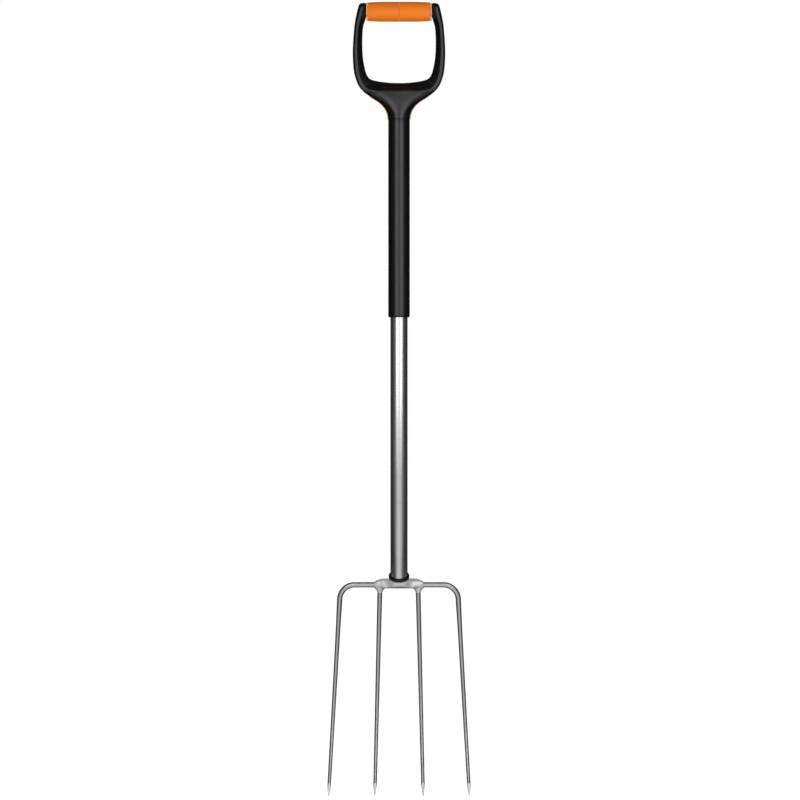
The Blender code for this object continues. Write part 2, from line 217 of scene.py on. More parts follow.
def skin(
    rings: Sequence[Sequence[Vector]],
    closed_ends: bool = True,
) -> tuple[list[Vector], list[list[int]]]:
    """Faces over rings of equally many points.

    Args:
        rings: the rings in order.
        closed_ends: whether the first and last ring get a cap.

    Returns:
        Points and faces of the skin.
    """
    count = len(rings[0])
    points = [point for ring in rings for point in ring]
    faces = []
    for row in range(len(rings) - 1):
        for i in range(count):
            j = (i + 1) % count
            low, high = row * count, (row + 1) * count
            faces.append([low + i, low + j, high + j, high + i])
    if closed_ends:
        faces.append(list(range(count)))
        faces.append(list(range((len(rings) - 1) * count, len(rings) * count)))
    return points, faces


def smooth_line(knots: Sequence[Sequence[float]], steps: int, closed: bool = False) -> np.ndarray:
    """A Catmull-Rom line through knots of any number of values.

    Args:
        knots: the values to pass through.
        steps: points made for each span.
        closed: whether the line returns to its first knot.

    Returns:
        One row of values for each point of the line.
    """
    data = np.array(knots, float)
    if closed:
        data = np.vstack([data[-1], data, data[:2]])
    else:
        data = np.vstack([2 * data[0] - data[1], data, 2 * data[-1] - data[-2]])
    rows = []
    for i in range(1, len(data) - 2):
        a, b, c, d = data[i - 1 : i + 3]
        for t in np.arange(steps) / steps:
            square = (2 * a - 5 * b + 4 * c - d) * t**2
            cube = (3 * b - a - 3 * c + d) * t**3
            rows.append(0.5 * (2 * b + (c - a) * t + square + cube))
    if not closed:
        rows.append(data[-2])
    return np.array(rows)


def superellipse(power: float, count: int) -> list[tuple[float, float]]:
    """Points of a superellipse with half axes of 1.

    Args:
        power: how square it is, 2 being a circle.
        count: number of points.

    Returns:
        The points around it, from +X.
    """
    points = []
    for i in range(count):
        angle = 2 * math.pi * i / count
        cos, sin = math.cos(angle), math.sin(angle)
        x = math.copysign(abs(cos) ** (2 / power), cos)
        y = math.copysign(abs(sin) ** (2 / power), sin)
        points.append((x, y))
    return points


def circle(radius: float, count: int) -> list[tuple[float, float]]:
    """Points of a circle, from +X."""
    angles = [2 * math.pi * i / count for i in range(count)]
    return [(radius * math.cos(angle), radius * math.sin(angle)) for angle in angles]


def revolve(
    name: str,
    profile: Sequence[tuple[float, float]],
    place: Matrix,
    steps: int = 96,
) -> bpy.types.Object:
    """Turns a closed (radius, height) profile about Z.

    Args:
        name: name of the piece.
        profile: points of the closed profile, or of an open one that starts and ends on the axis.
        place: matrix that puts the turned shape in the row frame.
        steps: points around.

    Returns:
        The turned piece, with its lay stored.
    """
    on_axis = profile[0][0] == 0 and profile[-1][0] == 0
    rings, along, travelled = [], [], 0.0
    line = list(profile) if on_axis else list(profile) + [profile[0]]
    for index, (radius, height) in enumerate(line):
        if index:
            travelled += math.dist(line[index - 1], line[index])
        rings.append([Vector((x, y, height)) for x, y in circle(radius, steps)])
        along += [travelled] * steps
    points, faces = skin(rings, closed_ends=False)
    mesh = bpy.data.meshes.new(name)
    mesh.from_pydata([tuple(place @ point) for point in points], [], faces)
    widest = max(radius for radius, _ in profile)
    around = [2 * math.pi * widest * (i % steps) / steps for i in range(len(points))]
    add_lay(mesh, around, along)
    bm = bmesh.new()
    bm.from_mesh(mesh)
    bmesh.ops.remove_doubles(bm, verts=bm.verts, dist=WELD_DISTANCE)
    bm.to_mesh(mesh)
    bm.free()
    return link_piece(name, mesh)


def sweep(
    name: str,
    path: Sequence[Vector],
    radii: Sequence[float],
    sides: int,
    powers: Sequence[float] | None = None,
) -> bpy.types.Object:
    """A rod along a path that bends in any direction.

    Args:
        name: name of the piece.
        path: points of its centre line.
        radii: radius at each point.
        sides: points around.
        powers: how square the section is at each point, 2 being round.

    Returns:
        The rod, with its lay stored.
    """
    powers = powers or [2.0] * len(path)
    rings, along, around, travelled = [], [], [], 0.0
    across = Vector((1, 0, 0))
    for i, point in enumerate(path):
        run = (path[min(i + 1, len(path) - 1)] - path[max(i - 1, 0)]).normalized()
        if abs(run.dot(across)) > 0.999:
            across = Vector((0, 0, 1))
        across = (across - run * across.dot(run)).normalized()
        other = run.cross(across)
        if i:
            travelled += (point - path[i - 1]).length
        ring = [point + (across * a + other * b) * radii[i] for a, b in superellipse(powers[i], sides)]
        rings.append(ring)
        along += [travelled] * sides
        around += [2 * math.pi * max(radii) * k / sides for k in range(sides)]
    points, faces = skin(rings)
    mesh = bpy.data.meshes.new(name)
    mesh.from_pydata([tuple(p) for p in points], [], faces)
    add_lay(mesh, around, along)
    return link_piece(name, mesh)


def fuse(name: str, parts: Sequence[bpy.types.Object], voxel: float, passes: int) -> bpy.types.Object:
    """Melts overlapping closed shapes into one skin with soft inner corners.

    Args:
        name: name of the fused piece.
        parts: the shapes, which are removed.
        voxel: size of the remesh.
        passes: rounds of smoothing.

    Returns:
        The fused piece.
    """
    bm = bmesh.new()
    for part in parts:
        bm.from_mesh(part.data)
        bpy.data.objects.remove(part, do_unlink=True)
    mesh = bpy.data.meshes.new(name)
    bm.to_mesh(mesh)
    bm.free()
    draft = bpy.data.objects.new(name, mesh)
    bpy.context.scene.collection.objects.link(draft)
    remesh = draft.modifiers.new("remesh", "REMESH")
    remesh.mode = "VOXEL"
    remesh.voxel_size = voxel
    smooth = draft.modifiers.new("smooth", "SMOOTH")
    smooth.factor = 0.5
    smooth.iterations = passes
    fused = baked(draft)
    return link_piece(name, fused)


def baked(obj: bpy.types.Object) -> bpy.types.Mesh:
    """The mesh that an object's modifiers make.

    Args:
        obj: the object, which is removed.

    Returns:
        The mesh, under the object's name.
    """
    bpy.context.view_layer.update()
    mesh = bpy.data.meshes.new_from_object(obj.evaluated_get(bpy.context.evaluated_depsgraph_get()))
    name = obj.name
    bpy.data.objects.remove(obj, do_unlink=True)
    mesh.name = name
    return mesh


def carve(
    obj: bpy.types.Object,
    cutters: Sequence[bpy.types.Object],
    keep: Cut = Cut.OUTSIDE,
) -> bpy.types.Object:
    """Cuts a piece with others, which are removed.

    Args:
        obj: the piece to cut.
        cutters: the shapes that cut it.
        keep: which side of the cutters stays.

    Returns:
        The cut piece, as a new object of the same name.
    """
    for cutter in cutters:
        modifier = obj.modifiers.new(cutter.name, "BOOLEAN")
        modifier.operation = keep.value
        modifier.object = cutter
        modifier.solver = "EXACT"
    name = obj.name
    mesh = baked(obj)
    for cutter in cutters:
        bpy.data.objects.remove(cutter, do_unlink=True)
    return link_piece(name, mesh)


def block(low: Sequence[float], high: Sequence[float]) -> bpy.types.Object:
    """A box for cutting.

    Args:
        low: its lowest corner.
        high: its highest corner.

    Returns:
        The box.
    """
    corners = [[(low, high)[(i >> axis) & 1][axis] for axis in range(3)] for i in range(8)]
    faces = [(0, 2, 3, 1), (4, 5, 7, 6), (0, 1, 5, 4), (2, 6, 7, 3), (0, 4, 6, 2), (1, 3, 7, 5)]
    return new_piece("block", corners, faces)


def fasten(piece: bpy.types.Object, finish: Finish, *nodes: str) -> None:
    """Dresses a piece, ties it to the fork and lets it stand for solids of the frame.

    Args:
        piece: the finished piece.
        finish: its finish.
        nodes: names of the solids that it stands for.
    """
    piece.data.materials.clear()
    piece.data.materials.append(finish.material())
    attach(piece, "root")
    if nodes:
        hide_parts(*nodes)
    log.info("%s: %d faces, %s", piece.name, len(piece.data.polygons), finish.name)


# Shader building

Feed = float | tuple | bpy.types.NodeSocket
Sockets = dict[str, bpy.types.NodeSocket]


class Sheet:
    """Nodes and links of one node tree."""

    def __init__(self, tree: bpy.types.NodeTree) -> None:
        """Starts on a tree."""
        self.tree = tree

    def node(
        self,
        kind: str,
        feeds: dict[str | int, Feed] | None = None,
        **settings: object,
    ) -> bpy.types.Node:
        """Adds a node.

        Args:
            kind: Blender's name of the node type, without the ShaderNode prefix.
            feeds: values or sockets for its inputs.
            settings: properties of the node.

        Returns:
            The new node.
        """
        added = self.tree.nodes.new(f"ShaderNode{kind}")
        for key, value in settings.items():
            setattr(added, key, value)
        for key, value in (feeds or {}).items():
            self.feed(added.inputs[key], value)
        return added

    def feed(self, socket: bpy.types.NodeSocket, value: Feed) -> None:
        """Links a socket into another, or sets its value.

        Args:
            socket: the input socket.
            value: the socket or value that feeds it.
        """
        if isinstance(value, bpy.types.NodeSocket):
            self.tree.links.new(value, socket)
        else:
            socket.default_value = value

    def maths(self, operation: str, a: Feed, b: Feed = 0.0, clamp: bool = False) -> bpy.types.NodeSocket:
        """The result of a two-value operation."""
        return self.node("Math", {0: a, 1: b}, operation=operation, use_clamp=clamp).outputs[0]

    def spread(
        self,
        value: Feed,
        low: float,
        high: float,
        to_low: float = 0.0,
        to_high: float = 1.0,
    ) -> bpy.types.NodeSocket:
        """Maps a range of values to another, without going past its ends."""
        feeds = {"Value": value, "From Min": low, "From Max": high, "To Min": to_low, "To Max": to_high}
        return self.node("MapRange", feeds, interpolation_type="SMOOTHSTEP").outputs["Result"]

    def blend(self, share: Feed, first: Feed, second: Feed) -> bpy.types.NodeSocket:
        """A colour between two others.

        Args:
            share: share of the second colour.
            first: the first colour.
            second: the second colour.

        Returns:
            The colour's socket.
        """
        factor, colour_a, colour_b, colour_out = 0, 6, 7, 2
        mixer = self.node("Mix", data_type="RGBA")
        self.feed(mixer.inputs[factor], share)
        self.feed(mixer.inputs[colour_a], first)
        self.feed(mixer.inputs[colour_b], second)
        return mixer.outputs[colour_out]

    def noise(
        self,
        vector: Feed,
        scale: Feed,
        detail: float = 3.0,
        roughness: float = 0.55,
    ) -> bpy.types.NodeSocket:
        """Fractal noise from 0 to 1."""
        feeds = {"Vector": vector, "Scale": scale, "Detail": detail, "Roughness": roughness}
        return self.node("TexNoise", feeds).outputs["Fac"]


class Effects:
    """Node groups that several finishes share, each built once."""

    _built: dict[str, bpy.types.NodeTree] = {}

    @classmethod
    def _start(
        cls,
        name: str,
        takes: dict[str, tuple[str, Feed]],
        gives: Sequence[str],
    ) -> tuple[Sheet, Sockets, Sockets]:
        """Begins a group with its sockets.

        Args:
            name: name of the group.
            takes: type and default of each input.
            gives: names of its value outputs.

        Returns:
            Its sheet, its input sockets and its output sockets, both by name.
        """
        tree = bpy.data.node_groups.new(name, "ShaderNodeTree")
        for socket_name, (kind, default) in takes.items():
            socket = tree.interface.new_socket(socket_name, in_out="INPUT", socket_type=f"NodeSocket{kind}")
            if kind == "Float":
                socket.default_value = default
        for socket_name in gives:
            tree.interface.new_socket(socket_name, in_out="OUTPUT", socket_type="NodeSocketFloat")
        sheet = Sheet(tree)
        entry, end = tree.nodes.new("NodeGroupInput"), tree.nodes.new("NodeGroupOutput")
        cls._built[name] = tree
        return sheet, dict(entry.outputs.items()), dict(end.inputs.items())

    @classmethod
    def grain(cls) -> bpy.types.NodeTree:
        """Fine moulded or sand-blasted grain, with a slow mottle over it.

        Returns:
            The group.
        """
        if "moulded_grain" in cls._built:
            return cls._built["moulded_grain"]
        takes = {"Scale": ("Float", 1500.0), "Mottle Scale": ("Float", 40.0)}
        sheet, given, out = cls._start("moulded_grain", takes, ("Height", "Mottle"))
        place = sheet.node("TexCoord").outputs["Object"]
        cells = sheet.node("TexVoronoi", {"Vector": place, "Scale": given["Scale"]}, feature="SMOOTH_F1")
        soft = sheet.noise(place, sheet.maths("MULTIPLY", given["Scale"], 0.45), detail=2)
        bumps = sheet.maths("MULTIPLY", cells.outputs["Distance"], 0.6)
        swells = sheet.maths("MULTIPLY", soft, 0.5)
        sheet.feed(out["Height"], sheet.maths("ADD", bumps, swells))
        sheet.feed(out["Mottle"], sheet.noise(place, given["Mottle Scale"], detail=4))
        return sheet.tree

    @classmethod
    def wear_and_hollow_shade(cls) -> bpy.types.NodeTree:
        """A broken mask along outer edges, where hands and soil rub, and a mask of the hollows where
        painted shade goes.

        Returns:
            The group.
        """
        if "edge_wear_and_hollow_shade" in cls._built:
            return cls._built["edge_wear_and_hollow_shade"]
        takes = {"Start": ("Float", 0.52), "End": ("Float", 0.60), "Break Scale": ("Float", 300.0)}
        sheet, given, out = cls._start("edge_wear_and_hollow_shade", takes, ("Edge", "Hollow"))
        place = sheet.node("TexCoord").outputs["Object"]
        point = sheet.node("NewGeometry").outputs["Pointiness"]
        rise = sheet.maths("SUBTRACT", point, given["Start"])
        span = sheet.maths("SUBTRACT", given["End"], given["Start"])
        edge = sheet.maths("DIVIDE", rise, span, clamp=True)
        broken = sheet.spread(sheet.noise(place, given["Break Scale"], detail=4), 0.35, 0.65)
        sheet.feed(out["Edge"], sheet.maths("MULTIPLY", edge, broken))
        # The hollow mask is painted shade, high where the surface is concave.
        sheet.feed(out["Hollow"], sheet.spread(point, 0.49, 0.44))
        return sheet.tree

    @classmethod
    def handling(cls) -> bpy.types.NodeTree:
        """Smears of handling and a trace of settled dust.

        Returns:
            The group.
        """
        if "handling_marks" in cls._built:
            return cls._built["handling_marks"]
        takes = {"Smear Scale": ("Float", 25.0), "Dust Scale": ("Float", 600.0)}
        sheet, given, out = cls._start("handling_marks", takes, ("Smear", "Dust"))
        place = sheet.node("TexCoord").outputs["Object"]
        drawn = sheet.node("Mapping", {"Vector": place, "Scale": (1.0, 1.0, 0.35)}).outputs["Vector"]
        smear = sheet.spread(sheet.noise(drawn, given["Smear Scale"], detail=5), 0.42, 0.68)
        facing = sheet.node("SeparateXYZ", {0: sheet.node("NewGeometry").outputs["Normal"]}).outputs["Z"]
        specks = sheet.spread(sheet.noise(place, given["Dust Scale"], detail=2), 0.60, 0.72)
        dust = sheet.maths("MULTIPLY", sheet.spread(facing, 0.2, 1.0), specks)
        sheet.feed(out["Smear"], smear)
        sheet.feed(out["Dust"], dust)
        return sheet.tree

    @classmethod
    def lay(cls) -> bpy.types.NodeTree:
        """Fine lines along a rod, as polishing and drawing leave them.

        Returns:
            The group.
        """
        if "drawn_lines" in cls._built:
            return cls._built["drawn_lines"]
        takes = {"Lay": ("Vector", None), "Fineness": ("Float", 3000.0), "Stretch": ("Float", 60.0)}
        sheet, given, out = cls._start("drawn_lines", takes, ("Lines", "Streaks", "Scratches"))
        parts = sheet.node("SeparateXYZ", {0: given["Lay"]})
        along = sheet.maths("DIVIDE", parts.outputs["Y"], given["Stretch"])
        drawn = sheet.node("CombineXYZ", {"X": parts.outputs["X"], "Y": along}).outputs[0]
        lines = sheet.noise(drawn, given["Fineness"], detail=2)
        streaks = sheet.noise(drawn, sheet.maths("MULTIPLY", given["Fineness"], 0.08), detail=4)
        slant = {"Vector": given["Lay"], "Rotation": (0, 0, 0.4), "Scale": (1, 0.06, 1)}
        turned = sheet.node("Mapping", slant).outputs["Vector"]
        fine = sheet.noise(turned, sheet.maths("MULTIPLY", given["Fineness"], 0.12), detail=1)
        sheet.feed(out["Lines"], lines)
        sheet.feed(out["Streaks"], streaks)
        sheet.feed(out["Scratches"], sheet.spread(fine, 0.70, 0.78))
        return sheet.tree


# Finishes

DUST_COLOUR = (0.30, 0.27, 0.23, 1)
GROUND_COLOUR = (0.80, 0.79, 0.77, 1)


@dataclass(frozen=True)
class Finish:
    """A named finish with its record slot. Subclasses paint its nodes."""

    name: str
    slot: Slot

    def material(self) -> bpy.types.Material:
        """The finish's material, built on its first use.

        Returns:
            The material.
        """
        known = bpy.data.materials.get(self.name)
        if known:
            return known
        material = bpy.data.materials.new(self.name)
        material.use_nodes = True
        sheet = Sheet(material.node_tree)
        self.paint(sheet, material.node_tree.nodes["Principled BSDF"])
        return material

    def paint(self, sheet: Sheet, shader: bpy.types.Node) -> None:
        """Feeds the Principled node of the material's sheet."""
        raise NotImplementedError

    @staticmethod
    def effect(sheet: Sheet, tree: bpy.types.NodeTree, **feeds: Feed) -> Sockets:
        """Places a shared effect.

        Args:
            sheet: the material's node tree.
            tree: the node group.
            feeds: its inputs, with underscores for spaces.

        Returns:
            The group's output sockets by name.
        """
        node = sheet.tree.nodes.new("ShaderNodeGroup")
        node.node_tree = tree
        for key, value in feeds.items():
            sheet.feed(node.inputs[key.replace("_", " ")], value)
        return dict(node.outputs.items())

    @staticmethod
    def bump(sheet: Sheet, height: Feed, distance: float, strength: float) -> bpy.types.NodeSocket:
        """Normals of a height map, with its full depth in metres."""
        feeds = {"Height": height, "Distance": distance, "Strength": strength}
        return sheet.node("Bump", feeds).outputs["Normal"]


@dataclass(frozen=True)
class Moulding(Finish):
    """Moulded plastic or rubber with a fine grain.

    Attributes:
        colour: base colour, linear.
        rub: colour of rubbed edges, linear.
        roughness: mean roughness.
        grain: grain cells for each metre.
        depth: depth of the grain in metres.
        mottle: how far the colour wanders.
        sheen: roughness taken off where hands polish it.
        specular: specular level.
    """

    colour: tuple[float, float, float]
    rub: tuple[float, float, float]
    roughness: float
    grain: float = 1600.0
    depth: float = 0.00004
    mottle: float = 0.12
    sheen: float = 0.10
    specular: float = 0.5

    def paint(self, sheet: Sheet, shader: bpy.types.Node) -> None:
        """Feeds the shader with grain, smears, edge wear and dust.

        Args:
            sheet: the material's node tree.
            shader: its Principled node.
        """
        grain = self.effect(sheet, Effects.grain(), Scale=self.grain, Mottle_Scale=45.0)
        wear_and_hollow_shade = self.effect(sheet, Effects.wear_and_hollow_shade(), Start=0.56, End=0.68, Break_Scale=350.0)
        marks = self.effect(sheet, Effects.handling(), Smear_Scale=28.0, Dust_Scale=900.0)
        deep = tuple(c * (1 - self.mottle) for c in self.colour)
        high = tuple(min(1.0, c * (1 + self.mottle)) for c in self.colour)
        body = sheet.blend(grain["Mottle"], (*deep, 1), (*high, 1))
        rubbed = sheet.blend(sheet.maths("MULTIPLY", wear_and_hollow_shade["Edge"], 0.55), body, (*self.rub, 1))
        dusty = sheet.blend(sheet.maths("MULTIPLY", marks["Dust"], 0.10), rubbed, DUST_COLOUR)
        sheet.feed(shader.inputs["Base Color"], dusty)
        polished = sheet.maths("MULTIPLY", marks["Smear"], self.sheen)
        uneven = sheet.spread(grain["Mottle"], 0.3, 0.7, self.roughness - 0.03, self.roughness + 0.04)
        sheet.feed(shader.inputs["Roughness"], sheet.maths("SUBTRACT", uneven, polished, clamp=True))
        sheet.feed(shader.inputs["Normal"], self.bump(sheet, grain["Height"], self.depth, 0.6))
        shader.inputs["Specular IOR Level"].default_value = self.specular


@dataclass(frozen=True)
class DrawnSteel(Finish):
    """Steel worked along its length, for the tube and the tines.

    Attributes:
        colour: base colour, linear.
        roughness: mean roughness.
        fineness: lines for each metre around.
        stretch: how much longer than wide a line is.
        depth: depth of the lines in metres.
        stain: colour of the darker film in its streaks, linear.
        stained: how much of the film there is.
        ground: whether its points are ground bright, under the mask of that name.
    """

    colour: tuple[float, float, float]
    roughness: float
    fineness: float = 2600.0
    stretch: float = 70.0
    depth: float = 0.000006
    stain: tuple[float, float, float] = (0.30, 0.29, 0.28)
    stained: float = 0.35
    ground: bool = False

    def paint(self, sheet: Sheet, shader: bpy.types.Node) -> None:
        """Feeds the shader with lines, streaks, scratches and ground points.

        Args:
            sheet: the material's node tree.
            shader: its Principled node.
        """
        lay = sheet.node("UVMap", uv_map="lay").outputs["UV"]
        drawn = self.effect(sheet, Effects.lay(), Lay=lay, Fineness=self.fineness, Stretch=self.stretch)
        grain = self.effect(sheet, Effects.grain(), Scale=2400.0, Mottle_Scale=60.0)
        marks = self.effect(sheet, Effects.handling(), Smear_Scale=18.0, Dust_Scale=700.0)
        film = sheet.maths("MULTIPLY", sheet.spread(drawn["Streaks"], 0.45, 0.75), self.stained)
        body = sheet.blend(film, (*self.colour, 1), (*self.stain, 1))
        spots = sheet.maths("MULTIPLY", sheet.spread(grain["Mottle"], 0.62, 0.80), 0.4)
        body = sheet.blend(spots, body, (*self.stain, 1))
        rough = sheet.spread(drawn["Streaks"], 0.3, 0.7, self.roughness - 0.04, self.roughness + 0.05)
        rough = sheet.maths("ADD", rough, sheet.maths("MULTIPLY", marks["Smear"], 0.05))
        height = sheet.maths("SUBTRACT", drawn["Lines"], sheet.maths("MULTIPLY", drawn["Scratches"], 0.8))
        if self.ground:
            bare = sheet.node("Attribute", attribute_name="ground").outputs["Fac"]
            body = sheet.blend(bare, body, GROUND_COLOUR)
            rough = sheet.maths("SUBTRACT", rough, sheet.maths("MULTIPLY", bare, 0.08), clamp=True)
            crossed = sheet.node("Mapping", {"Vector": lay, "Scale": (1, 30, 1)}).outputs["Vector"]
            grinding = sheet.noise(crossed, 260.0, detail=3)
            furrows = sheet.maths("MULTIPLY", sheet.maths("MULTIPLY", grinding, bare), 2.5)
            height = sheet.maths("ADD", height, furrows)
        sheet.feed(shader.inputs["Base Color"], body)
        sheet.feed(shader.inputs["Roughness"], rough)
        shader.inputs["Metallic"].default_value = 1.0
        sheet.feed(shader.inputs["Normal"], self.bump(sheet, height, self.depth, 0.5))


@dataclass(frozen=True)
class ForgedSteel(Finish):
    """Forged and blasted steel, with painted shade darkening its hollows.

    Attributes:
        colour: base colour, linear.
        hollow: darker colour of the random mottle and of the painted shade in the hollows, linear.
        roughness: mean roughness.
        grain: grain cells for each metre.
        depth: depth of the grain in metres.
        metal: how much of the surface is bare metal and not grey oxide.
    """

    colour: tuple[float, float, float]
    hollow: tuple[float, float, float]
    roughness: float
    grain: float = 1300.0
    depth: float = 0.00002
    metal: float = 1.0

    def paint(self, sheet: Sheet, shader: bpy.types.Node) -> None:
        """Feeds the shader with grain, painted shade in the hollows and rubbed edges.

        Args:
            sheet: the material's node tree.
            shader: its Principled node.
        """
        grain = self.effect(sheet, Effects.grain(), Scale=self.grain, Mottle_Scale=90.0)
        wear_and_hollow_shade = self.effect(sheet, Effects.wear_and_hollow_shade(), Start=0.53, End=0.62, Break_Scale=260.0)
        marks = self.effect(sheet, Effects.handling(), Smear_Scale=40.0, Dust_Scale=500.0)
        body = sheet.blend(sheet.spread(grain["Mottle"], 0.35, 0.75), (*self.colour, 1), (*self.hollow, 1))
        # Painted shade: the hollows are darkened towards the dark colour.
        body = sheet.blend(sheet.maths("MULTIPLY", wear_and_hollow_shade["Hollow"], 0.7), body, (*self.hollow, 1))
        bright = tuple(min(1.0, c * 1.2) for c in self.colour)
        body = sheet.blend(wear_and_hollow_shade["Edge"], body, (*bright, 1))
        sheet.feed(shader.inputs["Base Color"], body)
        rough = sheet.spread(grain["Mottle"], 0.3, 0.7, self.roughness - 0.04, self.roughness + 0.06)
        rough = sheet.maths("SUBTRACT", rough, sheet.maths("MULTIPLY", marks["Smear"], 0.05))
        sheet.feed(shader.inputs["Roughness"], rough)
        shader.inputs["Metallic"].default_value = self.metal
        sheet.feed(shader.inputs["Normal"], self.bump(sheet, grain["Height"], self.depth, 0.5))


TUBE_STEEL = DrawnSteel("satin_tube_steel", Slot.SATIN_STEEL, colour=(0.66, 0.66, 0.67), roughness=0.20)
ROD_STEEL = DrawnSteel(
    "tine_rod_steel", Slot.TINE_STEEL, colour=(0.57, 0.57, 0.57), roughness=0.30, fineness=3600.0,
    stretch=40.0, depth=0.000010, stain=(0.24, 0.23, 0.22), stained=0.45, ground=True,
)
YOKE_STEEL = ForgedSteel(
    "forged_yoke_steel", Slot.TINE_STEEL, colour=(0.88, 0.88, 0.88), hollow=(0.66, 0.65, 0.64),
    roughness=0.42, metal=0.5,
)
SCREW_STEEL = ForgedSteel(
    "blackened_screw_steel", Slot.DARK_STEEL, colour=(0.10, 0.10, 0.11), hollow=(0.03, 0.03, 0.03),
    roughness=0.38,
)
BLACK_MOULDING = Moulding(
    "black_moulded_plastic", Slot.BLACK_PLASTIC, colour=(0.0030, 0.0030, 0.0033), rub=(0.030, 0.030, 0.032),
    roughness=0.30,
)
COLLAR_RUBBER = Moulding(
    "black_collar_rubber", Slot.BLACK_RUBBER, colour=(0.0025, 0.0025, 0.0025), rub=(0.015, 0.015, 0.015),
    roughness=0.52, grain=2200.0,
)
ORANGE_COVER = Moulding(
    "orange_moulded_plastic", Slot.ORANGE_PLASTIC, colour=(0.82, 0.20, 0.018), rub=(0.90, 0.36, 0.10),
    roughness=0.42, mottle=0.05,
)
ORANGE_GRIP = Moulding(
    "orange_soft_grip", Slot.ORANGE_RUBBER, colour=(0.90, 0.205, 0.006), rub=(0.95, 0.36, 0.08),
    roughness=0.50, grain=1100.0, depth=0.00006, mottle=0.05, sheen=0.08, specular=0.3,
)
# The grip's end bands: a paler copy of the grip's orange rubber, a painted highlight of the rims.
GRIP_BAND_PAINTED_HIGHLIGHT = Moulding(
    "grip_band_painted_highlight", Slot.ORANGE_RUBBER, colour=(0.94, 0.52, 0.26), rub=(0.95, 0.60, 0.38),
    roughness=0.45, grain=1100.0, mottle=0.05,
)


# The fork


@dataclass
class Shaft:
    """Cranked tube, the sleeve over its upper half and the collar around its lower end.

    Attributes:
        datum: reference lines of the fork.
        tube_radius: outside of the tube.
        wall: thickness of the tube.
        tube_top: rise of the tube's top above the lower end of the handle.
        crank_drop: height that the crank takes up.
        straight: length of the straight stretch at the tube's lower end.
        sleeve_radius: outside of the sleeve.
        sleeve_edge: rounding of the sleeve's lower edge.
        joint_edge: chamfer where the sleeve meets the handle.
        collar_radius: outside of the collar.
        collar_power: how square the section of the collar is.
        bore_run: how far the cutter of the bore runs out past each end.
        gap: gap between touching pieces.
    """

    datum: Datum
    tube_radius: float = 0.0130
    wall: float = 0.0015
    tube_top: float = 0.024
    crank_drop: float = 0.1705
    straight: float = 0.035
    sleeve_radius: float = 0.0163
    sleeve_edge: float = 0.0026
    joint_edge: float = 0.0002
    collar_radius: float = 0.01585
    collar_power: float = 2.6
    bore_run: float = 0.003
    gap: float = 0.0003

    def path(self) -> list[Vector]:
        """Centre line of the tube.

        Returns:
            Its points from the top of the tube down to its cranked end.
        """
        datum, steps = self.datum, 40
        end = Vector((0, datum.end_y, datum.end_z))
        radius = (self.crank_drop - self.straight * math.cos(CRANK_TILT)) / math.sin(CRANK_TILT)
        start_z = datum.end_z + self.crank_drop
        top_z = datum.handle_z + self.tube_top
        points = [Vector((0, datum.axis_y, top_z + (start_z - top_z) * i / steps)) for i in range(steps)]
        for i in range(steps + 1):
            angle = CRANK_TILT * i / steps
            back, drop = radius * (1 - math.cos(angle)), radius * math.sin(angle)
            points.append(Vector((0, datum.axis_y + back, start_z - drop)))
        return points + [points[-1].lerp(end, 0.5), end]

    def build_tube(self) -> None:
        """Makes the tube, open at both ends."""
        path = self.path()
        outer = sweep("steel_tube", path, [self.tube_radius] * len(path), 72)
        end_run = (path[-1] - path[-2]).normalized()
        start_run = (path[0] - path[1]).normalized()
        inside = [path[0] + start_run * self.bore_run] + path + [path[-1] + end_run * self.bore_run]
        bore = sweep("tube_bore", inside, [self.tube_radius - self.wall] * len(inside), 48)
        fasten(carve(outer, [bore]), TUBE_STEEL, "shaft_tube")

    def build_sleeve(self) -> None:
        """Makes the sleeve with its rounded lower lip and a chamfer at its joint with the handle."""
        low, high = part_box("upper_sleeve")
        bottom, top = low[2], high[2]
        radius, hole = self.sleeve_radius, self.tube_radius + self.gap
        edge, joint = self.sleeve_edge, self.joint_edge
        wall_steps, edge_steps = 30, 8
        profile = [(hole, top), (radius - joint, top)]
        profile += [(radius - joint * 0.3, top - joint * 0.3), (radius, top - joint)]
        for i in range(1, wall_steps):
            profile.append((radius, top - joint + (bottom + edge - top + joint) * i / wall_steps))
        for i in range(edge_steps + 1):
            angle = math.pi / 2 * i / edge_steps
            profile.append((radius - edge * (1 - math.cos(angle)), bottom + edge * (1 - math.sin(angle))))
        profile.append((hole, bottom))
        place = Matrix.Translation((0, self.datum.axis_y, 0))
        fasten(revolve("sleeve_shell", profile, place, 96), BLACK_MOULDING, "upper_sleeve")

    def build_collar(self) -> None:
        """Makes the collar as a soft round band that stands on the yoke."""
        hole, half = self.tube_radius + self.gap, COLLAR_HEIGHT / 2
        width = self.collar_radius - hole
        section = reversed(superellipse(self.collar_power, 24))
        profile = [(hole + width / 2 + width / 2 * a, half + half * b) for a, b in section]
        place = tube_end_frame(self.datum)
        fasten(revolve("collar_band", profile, place, 96), COLLAR_RUBBER, "collar_ring")

    def build(self) -> None:
        """Makes the whole shaft."""
        self.build_tube()
        self.build_sleeve()
        self.build_collar()


def tube_end_frame(datum: Datum) -> Matrix:
    """Matrix of the tube's lower end, with +Z up the tube."""
    return Matrix.Translation((0, datum.end_y, datum.end_z)) @ Matrix.Rotation(CRANK_TILT, 4, "X")


